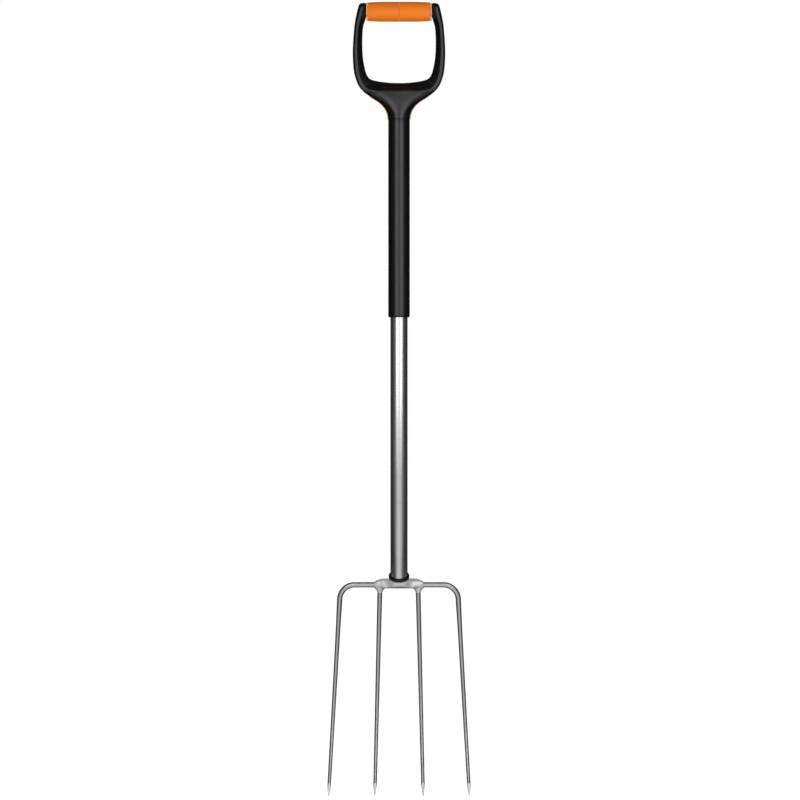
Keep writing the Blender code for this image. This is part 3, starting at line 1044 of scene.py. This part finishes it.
@dataclass
class Handle:
    """D-handle: a frame with a Y-shaped neck, two grip barrels, a cover on the back and its screw.

    Attributes:
        datum: reference lines of the fork.
        lean: forward lean of the D.
        lean_rise: rise at which the lean starts, above the lower end of the handle.
        grip_rise: rise of the grip's axis.
        split_depth: distance of the cover's inner face behind the tube's axis.
        cover_length: length of the cover.
        cover_swell: how far the cover stands proud of the neck.
        tuck: how far the frame runs on under the edge of the cover.
        run_out: how far cutting shapes run out below the neck.
        socket_radius: radius of the space for the tube.
        socket_rise: rise of the top of that space.
        core_radius: radius of the crossbar inside the grips.
        grip_half: half of the grip's length.
        grip_end: radius of the grip at its ends.
        grip_middle: radius of the grip at its middle.
        grip_power: how late the barrel narrows towards its ends.
        grip_edge: rounding of the barrels' and bands' outer edges.
        band_width: width of the band at each end of the grip, whose paler orange is a painted highlight.
        band_swell: how much bigger in radius the band is than the end of the grip.
        groove: depth and half width of the groove between the grips.
        screw_radius: radius of the screw's head.
        shank_radius: radius of the screw's shank.
        screw_head: height of the screw's head.
        gap: gap between touching pieces.
    """

    datum: Datum
    lean: float = math.radians(8)
    lean_rise: float = 0.016
    grip_rise: float = 0.1610
    split_depth: float = 0.0015
    cover_length: float = 0.034
    cover_swell: float = 0.0014
    tuck: float = 0.0010
    run_out: float = 0.005
    socket_radius: float = 0.0133
    socket_rise: float = 0.0243
    core_radius: float = 0.008
    grip_half: float = 0.0493
    grip_end: float = 0.0136
    grip_middle: float = 0.0150
    grip_power: float = 5.0
    grip_edge: float = 0.0006
    band_width: float = 0.0016
    band_swell: float = 0.0003
    groove: float = 0.0004
    screw_radius: float = 0.004
    shank_radius: float = 0.002
    screw_head: float = 0.0015
    gap: float = 0.0003

    # Neck, upwards: rise, half width, half depth, how square the section is
    NECK = (
        (-0.0008, 0.0162, 0.0162, 2.0),
        (0.0008, 0.0163, 0.0162, 2.0),
        (0.0040, 0.0166, 0.0162, 2.0),
        (0.0085, 0.0177, 0.0160, 2.0),
        (0.0130, 0.0196, 0.0158, 2.1),
        (0.0176, 0.0226, 0.0153, 2.2),
        (0.0221, 0.0268, 0.0146, 2.3),
        (0.0266, 0.0328, 0.0139, 2.6),
        (0.0312, 0.0402, 0.0134, 3.0),
        (0.0357, 0.0472, 0.0131, 3.6),
        (0.0402, 0.0530, 0.0127, 4.2),
        (0.0440, 0.0562, 0.0112, 4.5),
        (0.0470, 0.0562, 0.0092, 4.5),
    )

    # D, from the top of an arm to its base: x, rise, width, half depth, how far out its front ridge is
    ARM = (
        (0.0535, 0.1742, 0.0046, 0.0046, -0.20),
        (0.0535, 0.1734, 0.0080, 0.0082, -0.20),
        (0.0537, 0.1722, 0.0101, 0.0102, -0.20),
        (0.0545, 0.1700, 0.0115, 0.0116, -0.20),
        (0.0553, 0.1672, 0.0124, 0.0123, -0.20),
        (0.0560, 0.1632, 0.0132, 0.0129, -0.18),
        (0.0568, 0.1572, 0.0146, 0.0131, -0.12),
        (0.0578, 0.1513, 0.0150, 0.0131, -0.05),
        (0.0599, 0.1430, 0.0138, 0.0130, 0.0),
        (0.0612, 0.1339, 0.0133, 0.0128, 0.0),
        (0.0622, 0.1188, 0.0138, 0.0124, 0.0),
        (0.0625, 0.1037, 0.0147, 0.0122, 0.0),
        (0.0618, 0.0886, 0.0156, 0.0122, 0.0),
        (0.0597, 0.0728, 0.0171, 0.0122, 0.05),
        (0.0567, 0.0625, 0.0178, 0.0123, 0.10),
        (0.0528, 0.0553, 0.0195, 0.0124, 0.15),
        (0.0468, 0.0500, 0.0208, 0.0125, 0.20),
        (0.0330, 0.0474, 0.0184, 0.0126, 0.26),
        (0.0140, 0.0455, 0.0176, 0.0127, 0.30),
    )
    ARM_MIDDLE = (0.0, 0.0451, 0.0176, 0.0127, 0.30)

    # Section of an arm: from the hand opening to the outside, and from front to back, both from -1 to 1
    ARM_SECTION = (
        (-1.0, 0.05), (-0.88, -0.34), (-0.45, -0.66), (0.02, -0.93), (0.28, -1.0), (0.66, -0.95),
        (0.90, -0.70), (1.0, -0.20), (0.97, 0.35), (0.72, 0.80), (0.20, 1.0), (-0.35, 0.94),
        (-0.78, 0.70), (-0.97, 0.38),
    )

    def lean_frame(self) -> Matrix:
        """Matrix of the leaning plane of the D, from where the lean starts."""
        origin = Vector((0, self.datum.axis_y, self.datum.handle_z + self.lean_rise))
        return Matrix.Translation(origin) @ Matrix.Rotation(self.lean, 4, "X")

    def up_the_lean(self, rise: float) -> float:
        """Distance up the leaning plane that reaches a rise."""
        return (rise - self.lean_rise) / math.cos(self.lean)

    def neck(self, name: str, swell: float = 0.0) -> bpy.types.Object:
        """The solid neck, from the sleeve up into the base of the D.

        Args:
            name: name of the shape.
            swell: thickness added all round.

        Returns:
            The neck, not yet cut.
        """
        rings = []
        for rise, half_width, half_depth, power in smooth_line(self.NECK, 6):
            forward = max(0.0, rise - self.lean_rise) * math.tan(self.lean)
            center = Vector((0, self.datum.axis_y - forward, self.datum.handle_z + rise))
            rings.append([
                center + Vector((a * (half_width + swell), b * (half_depth + swell), 0))
                for a, b in superellipse(power, 72)
            ])
        return new_piece(name, *skin(rings))

    def arms(self) -> bpy.types.Object:
        """The D without its crossbar, with a ridge along its front.

        Returns:
            The arms and the base of the D, as one shape.
        """
        left = [(-x, *rest) for x, *rest in self.ARM]
        line = smooth_line(left + [self.ARM_MIDDLE] + list(self.ARM[::-1]), 6)
        outline = smooth_line(self.ARM_SECTION, 4, closed=True)
        place = self.lean_frame()
        rings = []
        for i, (x, rise, width, depth, ridge) in enumerate(line):
            before, after = line[max(i - 1, 0)], line[min(i + 1, len(line) - 1)]
            run = Vector((after[0] - before[0], 0, after[1] - before[1])).normalized()
            outwards = Vector((run.z, 0, -run.x)) * -width / 2
            center = Vector((x, 0, self.up_the_lean(rise)))
            rings.append([
                place @ (center - outwards * (t + ridge * (1 - t * t)) + Vector((0, d * depth, 0)))
                for t, d in outline
            ])
        return new_piece("arms", *skin(rings))

    def along_grip(self, hand: Hand = Hand.RIGHT) -> Matrix:
        """Matrix of the grip's axis, with +Z towards one side."""
        lift = Matrix.Translation((0, 0, self.up_the_lean(self.grip_rise)))
        return self.lean_frame() @ lift @ Matrix.Rotation(hand.value * math.pi / 2, 4, "Y")

    def core(self) -> bpy.types.Object:
        """The crossbar that the grips sit on.

        Returns:
            The crossbar, which ends inside the arms.
        """
        reach = self.ARM[5][0]
        profile = [(0, reach), (self.core_radius, reach), (self.core_radius, -reach), (0, -reach)]
        return revolve("crossbar", profile, self.along_grip(), 48)

    def socket(self) -> bpy.types.Object:
        """Space for the top of the tube in the neck.

        Returns:
            The cutting shape.
        """
        top, bottom = self.datum.handle_z + self.socket_rise, self.datum.handle_z - self.run_out
        profile = [(0, top), (self.socket_radius, top), (self.socket_radius, bottom), (0, bottom)]
        return revolve("socket", profile, Matrix.Translation((0, self.datum.axis_y, 0)), 64)

    def cover_box(self, gap: float) -> bpy.types.Object:
        """Space of the cover behind the neck.

        Args:
            gap: how much bigger the space is than the cover.

        Returns:
            The cutting shape.
        """
        reach, y, z = 0.1, self.datum.axis_y, self.datum.handle_z
        low = (-reach, y + self.split_depth - gap, z - self.run_out)
        return block(low, (reach, y + reach, z + self.cover_length + gap))

    def build_frame(self) -> None:
        """Makes the black frame: arms, crossbar and the front of the neck in one moulding."""
        front = carve(self.neck("front_neck"), [self.cover_box(-self.tuck), self.socket()])
        body = fuse("handle_body", [self.arms(), self.core(), front], voxel=0.0007, passes=14)
        fasten(body, BLACK_MOULDING, "handle_frame")

    def build_cover(self) -> None:
        """Makes the orange cover, whose edges show along both flanks of the neck."""
        shell = carve(self.neck("cover", self.cover_swell), [self.cover_box(-self.gap)], Cut.INSIDE)
        shell = carve(shell, [self.socket(), self.screw_shape(self.gap)])
        shell = fuse("neck_cover_shell", [shell], voxel=0.0005, passes=4)
        fasten(shell, ORANGE_COVER, "neck_back_cover")

    def screw_place(self) -> Matrix:
        """Matrix of the screw's seat.

        Returns:
            The matrix, with +Z out of the screw's head.
        """
        low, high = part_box("cover_screw")
        seat = Vector((0, high[1] - self.screw_head, (low[2] + high[2]) / 2))
        return Matrix.Translation(seat) @ Matrix.Rotation(-math.pi / 2, 4, "X")

    def screw_shape(self, gap: float, length: float = 0.017) -> bpy.types.Object:
        """The screw as a turned shape, or with a gap the hole that it sits in.

        Args:
            gap: gap around the screw.
            length: length of its shank.

        Returns:
            The turned shape.
        """
        head, shank, end = self.screw_radius + gap, self.shank_radius + gap, -length - gap
        reach = 0.01 if gap else self.screw_head
        dome = [(head, reach)] if gap else [(head * 0.55, reach), (head * 0.85, reach * 0.75)]
        profile = [(0.0, reach), *dome, (head, reach * 0.25), (head, -gap)]
        profile += [(shank, -gap), (shank, end), (0.0, end)]
        return revolve("screw", profile, self.screw_place(), 48)

    def build_screw(self) -> None:
        """Makes the screw with a hexagon socket in its head."""
        screw = self.screw_shape(0.0)
        place, corner, top, bottom = self.screw_place(), 0.0016, 0.003, -0.0004
        rings = [[place @ Vector((x, y, z)) for x, y in circle(corner, 6)] for z in (top, bottom)]
        piece = carve(screw, [new_piece("recess", *skin(rings))])
        piece.name = piece.data.name = "cover_screw_head"
        fasten(piece, SCREW_STEEL, "cover_screw")

    def grip_radius(self, along: float) -> float:
        """Radius of the barrel at a distance from the middle of the grip."""
        fall = abs(along / self.grip_half) ** self.grip_power
        return self.grip_middle - (self.grip_middle - self.grip_end) * fall

    def build_grips(self) -> None:
        """Makes the two barrels with a groove between them, and a band at each outer end whose paler orange
        is a painted highlight of its rim.
        """
        hole, steps = self.core_radius + self.gap, 40
        inner, groove, edge = self.gap / 4, self.groove, self.grip_edge
        outer = self.grip_half - self.band_width - self.gap
        for hand in Hand:
            profile = [(hole, outer), (self.grip_radius(outer) - edge / 2, outer)]
            for i in range(steps + 1):
                along = outer - edge / 2 + (inner + groove - outer + edge / 2) * i / steps
                profile.append((self.grip_radius(along), along))
            profile += [(self.grip_middle - groove * 0.35, inner + groove * 0.4)]
            profile += [(self.grip_middle - groove, inner), (hole, inner)]
            grip = revolve(f"grip_barrel_{hand.word}", profile, self.along_grip(hand), 96)
            fasten(grip, ORANGE_GRIP, f"grip_{hand.word}")
            start, end = outer + self.gap, self.grip_half
            lip = self.grip_end + self.band_swell
            band = [(hole, end), (lip - edge, end), (lip, end - 0.0005), (lip, start + 0.0003)]
            band += [(lip - 0.0004, start), (hole, start)]
            # The band's paler orange is a painted highlight.
            ring = revolve(f"grip_band_{hand.word}", band, self.along_grip(hand), 96)
            fasten(ring, GRIP_BAND_PAINTED_HIGHLIGHT, f"grip_{hand.word}")

    def build(self) -> None:
        """Makes the whole handle."""
        self.build_frame()
        self.build_cover()
        self.build_screw()
        self.build_grips()


@dataclass(frozen=True)
class Fan:
    """The straight line of a tine as the front view shows it.

    Attributes:
        tip_x: distance of its tip from the middle.
        spread: how much nearer to the middle it is for each metre up.
    """

    tip_x: float
    spread: float


@dataclass
class Head:
    """Head of the fork: a forged yoke with four curved tines.

    Attributes:
        datum: reference lines of the fork.
        root_tilt: backward tilt of the tines at their roots.
        tip_tilt: tilt of the tines at their tips.
        tip_radius: radius where the ground point starts.
        point_radius: radius of the very tip.
        point_length: length of the ground point.
        point_curve: power of the point's taper, under 1 for a rounded point.
        point_power: how much squarer than round the section is at the very tip.
        taper_curve: power of the slow taper above the point.
        shoulder: radius of the outer tines' bend.
        bar_reach: half length of the yoke's bar.
        bar_power: how square the section of the bar is at its ends.
        middle_power: how much squarer it is in the middle.
        middle_reach: distance from the middle at which that has faded.
        lug_drop: how far the lugs reach below the roots.
        bar_lift: how far the middle of the bar stands above the roots.
        overlap: how far a tine's root reaches into the yoke.
        outer_swell: share that the outer tines are thicker at their shoulders.
        swell_start: share of a tine's height at which that begins.
        swell_length: share of its height that it takes to come in.
        lean_half: half of the length of the bar that leans with the tube.
        seat_radius: radius of the seat of the tube.
        tang_radius: radius of the tang inside the tube.
        collar_reach: radius of the space around the collar.
        gap: gap between touching pieces.
    """

    datum: Datum
    root_tilt: float = math.radians(10)
    tip_tilt: float = math.radians(-31)
    tip_radius: float = 0.00275
    point_radius: float = 0.0007
    point_length: float = 0.018
    point_curve: float = 0.75
    point_power: float = 1.2
    taper_curve: float = 1.2
    shoulder: float = 0.023
    bar_reach: float = 0.037
    bar_power: float = 2.3
    middle_power: float = 1.6
    middle_reach: float = 0.036
    lug_drop: float = 0.013
    bar_lift: float = 0.0021
    overlap: float = 0.002
    outer_swell: float = 0.10
    swell_start: float = 0.78
    swell_length: float = 0.16
    lean_half: float = 0.015
    seat_radius: float = 0.0150
    tang_radius: float = 0.0112
    collar_reach: float = 0.0175
    gap: float = 0.0003

    INNER = Fan(0.0366, 0.0245)
    OUTER = Fan(0.1065, 0.0560)

    # Bar of the yoke, from its middle outwards: x, half height, lift, reach to the front and to the back
    BAR = (
        (0.0, 0.0079, 0.0021, 0.0180, 0.0096),
        (0.005, 0.0079, 0.0021, 0.0173, 0.0095),
        (0.010, 0.0079, 0.0021, 0.0154, 0.0092),
        (0.014, 0.0078, 0.0021, 0.0128, 0.0089),
        (0.018, 0.0078, 0.0021, 0.0104, 0.0085),
        (0.022, 0.0077, 0.0021, 0.0088, 0.0080),
        (0.027, 0.0071, 0.0020, 0.0074, 0.0070),
        (0.031, 0.0063, 0.0016, 0.0062, 0.0060),
        (0.0345, 0.0055, 0.0010, 0.0053, 0.0052),
        (0.037, 0.0047, 0.0003, 0.0046, 0.0046),
    )

    # Lug of an inner tine, downwards: distance below the bar's middle, half width, half depth
    LUG = (
        (0.0, 0.0095, 0.0066),
        (0.0030, 0.0100, 0.0064),
        (0.0063, 0.0094, 0.0058),
        (0.0093, 0.0061, 0.0050),
        (0.0124, 0.0044, 0.0044),
        (0.0151, 0.0039, 0.0039),
    )

    @property
    def height(self) -> float:
        """Height of the outer roots above the tips."""
        return self.datum.head_z - self.datum.tips_z

    def depth(self, height: float) -> float:
        """y of a tine's centre line at a height above the tips, on its arc.

        Args:
            height: height above the tips.

        Returns:
            y in the row frame.
        """
        fall = math.sin(self.root_tilt) - math.sin(self.tip_tilt)
        radius = self.height / fall
        sine = math.sin(self.root_tilt) - (self.height - height) / radius
        root = self.datum.end_y + (self.datum.end_z - self.datum.head_z) * math.tan(CRANK_TILT) / 2
        return root + radius * (math.sqrt(1 - sine * sine) - math.cos(self.root_tilt))

    def place(self, x: float, height: float) -> Vector:
        """Point on a tine's arc in the row frame."""
        return Vector((x, self.depth(height), self.datum.tips_z + height))

    def radius(self, height: float) -> float:
        """Radius of a tine at a height above the tips.

        Args:
            height: height above the tips.

        Returns:
            The radius, which tapers slowly and then to the ground point.
        """
        if height < self.point_length:
            share = (height / self.point_length) ** self.point_curve
            return self.point_radius + (self.tip_radius - self.point_radius) * share
        share = (height - self.point_length) / (self.height - self.point_length)
        return self.tip_radius + (TINE_RADIUS - self.tip_radius) * share**self.taper_curve

    def near_root(self, height: float) -> float:
        """How near the root a height is, from 0 down the blade to 1 at the shoulder."""
        share = min(1.0, max(0.0, (height / self.height - self.swell_start) / self.swell_length))
        return share * share * (3 - 2 * share)

    def blade(self, fan: Fan, top: float) -> list[tuple[Vector, float]]:
        """Points and heights down a tine's straight fan line.

        Args:
            fan: the line.
            top: height to start from.

        Returns:
            The points with their heights above the tips.
        """
        long_steps, point_steps = 90, 16
        heights = [top + (self.point_length - top) * i / long_steps for i in range(long_steps)]
        heights += [self.point_length * (1 - i / point_steps) for i in range(point_steps + 1)]
        return [(self.place(fan.tip_x - fan.spread * height, height), height) for height in heights]

    def inner_tine(self) -> list[tuple[Vector, float]]:
        """Points and heights of an inner tine."""
        return self.blade(self.INNER, self.height - self.lug_drop + self.overlap)

    def outer_tine(self) -> list[tuple[Vector, float]]:
        """Points and heights of an outer tine.

        Returns:
            The arm out of the yoke, the shoulder and the blade, in that order.
        """
        drop = self.height - self.shoulder
        blade = self.blade(self.OUTER, drop)
        corner = blade[0][0].x - self.shoulder
        start = self.bar_reach - self.overlap
        arm_steps, turn_steps = 8, 24
        arm = [start + (corner - start) * i / arm_steps for i in range(arm_steps)]
        line = [(self.place(x, self.height), self.height) for x in arm]
        for i in range(turn_steps):
            angle = math.pi / 2 * i / turn_steps
            height = drop + self.shoulder * math.cos(angle)
            line.append((self.place(corner + self.shoulder * math.sin(angle), height), height))
        return line + blade

    def build_tines(self) -> None:
        """Makes the four tines with their ground points."""
        sides = 28
        kinds = (("inner", self.inner_tine(), 0.0), ("outer", self.outer_tine(), self.outer_swell))
        for kind, line, swell in kinds:
            radii = [self.radius(height) * (1 + swell * self.near_root(height)) for _, height in line]
            edge = self.point_length
            squareness = [
                2.0 + self.point_power * max(0.0, 1 - height / edge) ** 0.5 for _, height in line
            ]
            ground = [1.0 if height < edge * 0.98 else 0.0 for _, height in line]
            for hand in Hand:
                path = [Vector((hand.value * point.x, point.y, point.z)) for point, _ in line]
                tine = sweep(f"{kind}_rod_{hand.word}", path, radii, sides, squareness)
                add_mask(tine.data, "ground", np.repeat(ground, sides))
                fasten(tine, ROD_STEEL, f"{kind}_tine_{hand.word}")

    def bar(self) -> bpy.types.Object:
        """The bar of the yoke, which leans with the tube in its middle.

        Returns:
            The bar, not yet cut.
        """
        left = [(-x, *rest) for x, *rest in self.BAR[:0:-1]]
        rings = []
        for x, high, lift, front, back in smooth_line(left + list(self.BAR), 5):
            center = self.place(x, self.height) + Vector((0, 0, lift))
            fade = 1 - (abs(x) / self.bar_reach) ** 6
            follow = math.tan(CRANK_TILT) * max(-0.5, 1 - abs(x) / self.lean_half) * fade
            fading = max(0.0, 1 - abs(x) / self.middle_reach) ** 0.5
            square = self.bar_power + self.middle_power * fading
            rings.append([
                center + Vector((0, a * (back if a > 0 else front) - b * high * follow, b * high))
                for a, b in superellipse(square, 56)
            ])
        return new_piece("bar", *skin(rings))

    def lug(self, hand: Hand) -> bpy.types.Object:
        """A web that runs down from the bar into an inner tine.

        Args:
            hand: the side of the fork.

        Returns:
            The web.
        """
        rings = []
        for drop, wide, deep in smooth_line(self.LUG, 5):
            height = self.height + self.bar_lift - drop
            x = self.INNER.tip_x - self.INNER.spread * height
            center = self.place(hand.value * x, min(height, self.height))
            center.z = self.datum.tips_z + height
            rings.append([center + Vector((a * wide, b * deep, 0)) for a, b in superellipse(2.0, 40)])
        return new_piece(f"lug_{hand.word}", *skin(rings))

    def boss(self) -> bpy.types.Object:
        """Seat of the tube with the tang that fills its end.

        Returns:
            The seat and tang, as one turned shape.
        """
        tang, seat = self.tang_radius, self.seat_radius
        profile = [
            (0.0, 0.030), (tang - 0.001, 0.030), (tang, 0.029), (tang, -self.gap), (seat, -self.gap),
            (seat + 0.0002, -0.003), (seat - 0.002, -0.007), (seat - 0.006, -0.011), (0.0, -0.013),
        ]
        return revolve("boss", profile, tube_end_frame(self.datum), 64)

    def collar_space(self) -> bpy.types.Object:
        """Space above the seat, round at the back of the collar and open to the front.

        Returns:
            The cutting shape.
        """
        reach, front, top, place = self.collar_reach, -0.04, 0.02, tube_end_frame(self.datum)
        half_circle = circle(reach, 64)[:33]
        outline = [(-reach, front), (reach, front), *half_circle]
        rings = [[place @ Vector((x, y, z)) for x, y in outline] for z in (top, -self.gap)]
        return new_piece("collar_space", *skin(rings))

    def build_yoke(self) -> None:
        """Makes the yoke as one forging, with soft webs into the tines."""
        bar = carve(self.bar(), [self.collar_space()])
        parts = [bar, self.boss(), self.lug(Hand.LEFT), self.lug(Hand.RIGHT)]
        fasten(fuse("yoke_forging", parts, voxel=0.0005, passes=10), YOKE_STEEL, "tine_yoke")

    def build(self) -> None:
        """Makes the whole head."""
        self.build_yoke()
        self.build_tines()


# Studio


@dataclass(frozen=True)
class Softbox:
    """A rectangular light that faces the shaft.

    Attributes:
        name: name of the light.
        azimuth: degrees round from the front, positive to the right.
        reach: how far from the shaft it stands.
        low: height of its lower edge above the tips.
        high: height of its upper edge above the tips.
        width: width in metres.
        radiance: brightness of its face.
    """

    name: str
    azimuth: float
    reach: float
    low: float
    high: float
    width: float
    radiance: float


@dataclass
class Studio:
    """Pale floor, soft lights and a long lens straight in front.

    Attributes:
        datum: reference lines of the fork.
        view_height: height of the lens above the tips.
        view_x: sideways place of the lens.
        view_width: width that the view takes in at the fork.
        distance: distance of the lens.
        floor_half: half width of the floor.
        floor_gap: gap between the floor and the tips.
        floor_glow: light that the floor gives by itself.
        glow: brightness of the room in front and below, as the fork reflects it.
        dim: brightness of the rest of the room.
    """

    datum: Datum
    view_height: float = 0.5976
    view_x: float = 0.0015
    view_width: float = 1.2088
    distance: float = 14.0
    floor_half: float = 30.0
    floor_gap: float = 0.0005
    floor_glow: float = 0.75
    glow: float = 0.80
    dim: float = 0.045

    BOXES = (
        Softbox("left_softbox", -23.5, 0.9, low=0.58, high=1.42, width=0.52, radiance=1.48),
        Softbox("right_softbox", 28.0, 0.9, low=0.58, high=1.42, width=0.60, radiance=1.62),
        Softbox("back_softbox", 180.0, 1.1, low=0.45, high=1.50, width=0.34, radiance=1.5),
    )

    def build_camera(self) -> None:
        """Sets the camera."""
        data = bpy.data.cameras.new("camera")
        data.lens = data.sensor_width * self.distance / self.view_width
        camera = bpy.data.objects.new("camera", data)
        y, z = self.datum.axis_y - self.distance, self.datum.tips_z + self.view_height
        camera.location = (self.view_x, y, z)
        camera.rotation_euler = (math.pi / 2, 0, 0)
        bpy.context.scene.collection.objects.link(camera)
        bpy.context.scene.camera = camera

    def build_boxes(self) -> None:
        """Hangs the softboxes around the front."""
        for box in self.BOXES:
            data = bpy.data.lights.new(box.name, "AREA")
            data.shape = "RECTANGLE"
            angle, tall = math.radians(box.azimuth), box.high - box.low
            data.size, data.size_y = box.width, tall
            data.energy = box.radiance * math.pi * box.width * tall
            light = bpy.data.objects.new(box.name, data)
            middle = self.datum.tips_z + (box.low + box.high) / 2
            side, ahead = box.reach * math.sin(angle), box.reach * math.cos(angle)
            light.location = (side, self.datum.axis_y - ahead, middle)
            light.rotation_euler = (math.pi / 2, 0, angle)
            light.visible_camera = False
            bpy.context.scene.collection.objects.link(light)

    def build_floor(self) -> None:
        """Lays the pale floor under the tips."""
        half, level = self.floor_half, self.datum.tips_z - self.floor_gap
        corners = [(-half, -half, level), (half, -half, level), (half, half, level), (-half, half, level)]
        floor = new_piece("floor", corners, [(0, 1, 2, 3)])
        material = bpy.data.materials.new("pale_floor")
        material.use_nodes = True
        shader = material.node_tree.nodes["Principled BSDF"]
        shader.inputs["Base Color"].default_value = (0.9, 0.9, 0.9, 1)
        shader.inputs["Roughness"].default_value = 0.9
        shader.inputs["Specular IOR Level"].default_value = 0.0
        shader.inputs["Emission Color"].default_value = (1, 1, 1, 1)
        shader.inputs["Emission Strength"].default_value = self.floor_glow
        floor.data.materials.append(material)
        floor.visible_glossy = False
        floor.visible_diffuse = False

    def build_room(self) -> None:
        """Surrounds the fork: white to the lens, dim at the sides and pale from below in front."""
        world = bpy.data.worlds.new("studio")
        bpy.context.scene.world = world
        world.use_nodes = True
        sheet = Sheet(world.node_tree)
        rays = sheet.node("LightPath")
        direction = sheet.node("TexCoord").outputs["Generated"]
        parts = sheet.node("SeparateXYZ", {0: direction}).outputs
        sideways = sheet.maths("ABSOLUTE", parts["X"])
        front = sheet.spread(parts["Y"], -0.55, 0.15, 1.0, 0.0)
        below = sheet.spread(parts["Z"], 0.10, 0.70, 1.0, 0.0)
        width = sheet.spread(sideways, 0.10, 1.0, 1.0, 0.10)
        glow = sheet.maths("MULTIPLY", sheet.maths("MULTIPLY", front, below), width)
        shine = sheet.maths("ADD", sheet.maths("MULTIPLY", glow, self.glow), self.dim)
        fill = sheet.spread(parts["Y"], -0.9, 0.6, 0.62, 0.16)
        level = sheet.node("Mix", {0: rays.outputs["Is Diffuse Ray"], 2: shine, 3: fill}).outputs[0]
        level = sheet.maths("MAXIMUM", level, rays.outputs["Is Camera Ray"])
        background = world.node_tree.nodes["Background"]
        background.inputs["Color"].default_value = (1, 1, 1, 1)
        sheet.feed(background.inputs["Strength"], level)

    def build(self) -> None:
        """Sets the whole studio."""
        self.build_camera()
        self.build_boxes()
        self.build_floor()
        self.build_room()
        bpy.context.scene.view_settings.view_transform = "Standard"


def main() -> None:
    """Builds the fork and its studio."""
    logging.basicConfig(level=logging.INFO, format="%(name)s: %(message)s")
    datum = Datum.from_frame()
    log.info("datum: %s", datum)
    Studio(datum).build()
    Shaft(datum).build()
    Handle(datum).build()
    Head(datum).build()


if __name__ == "__main__":
    main()
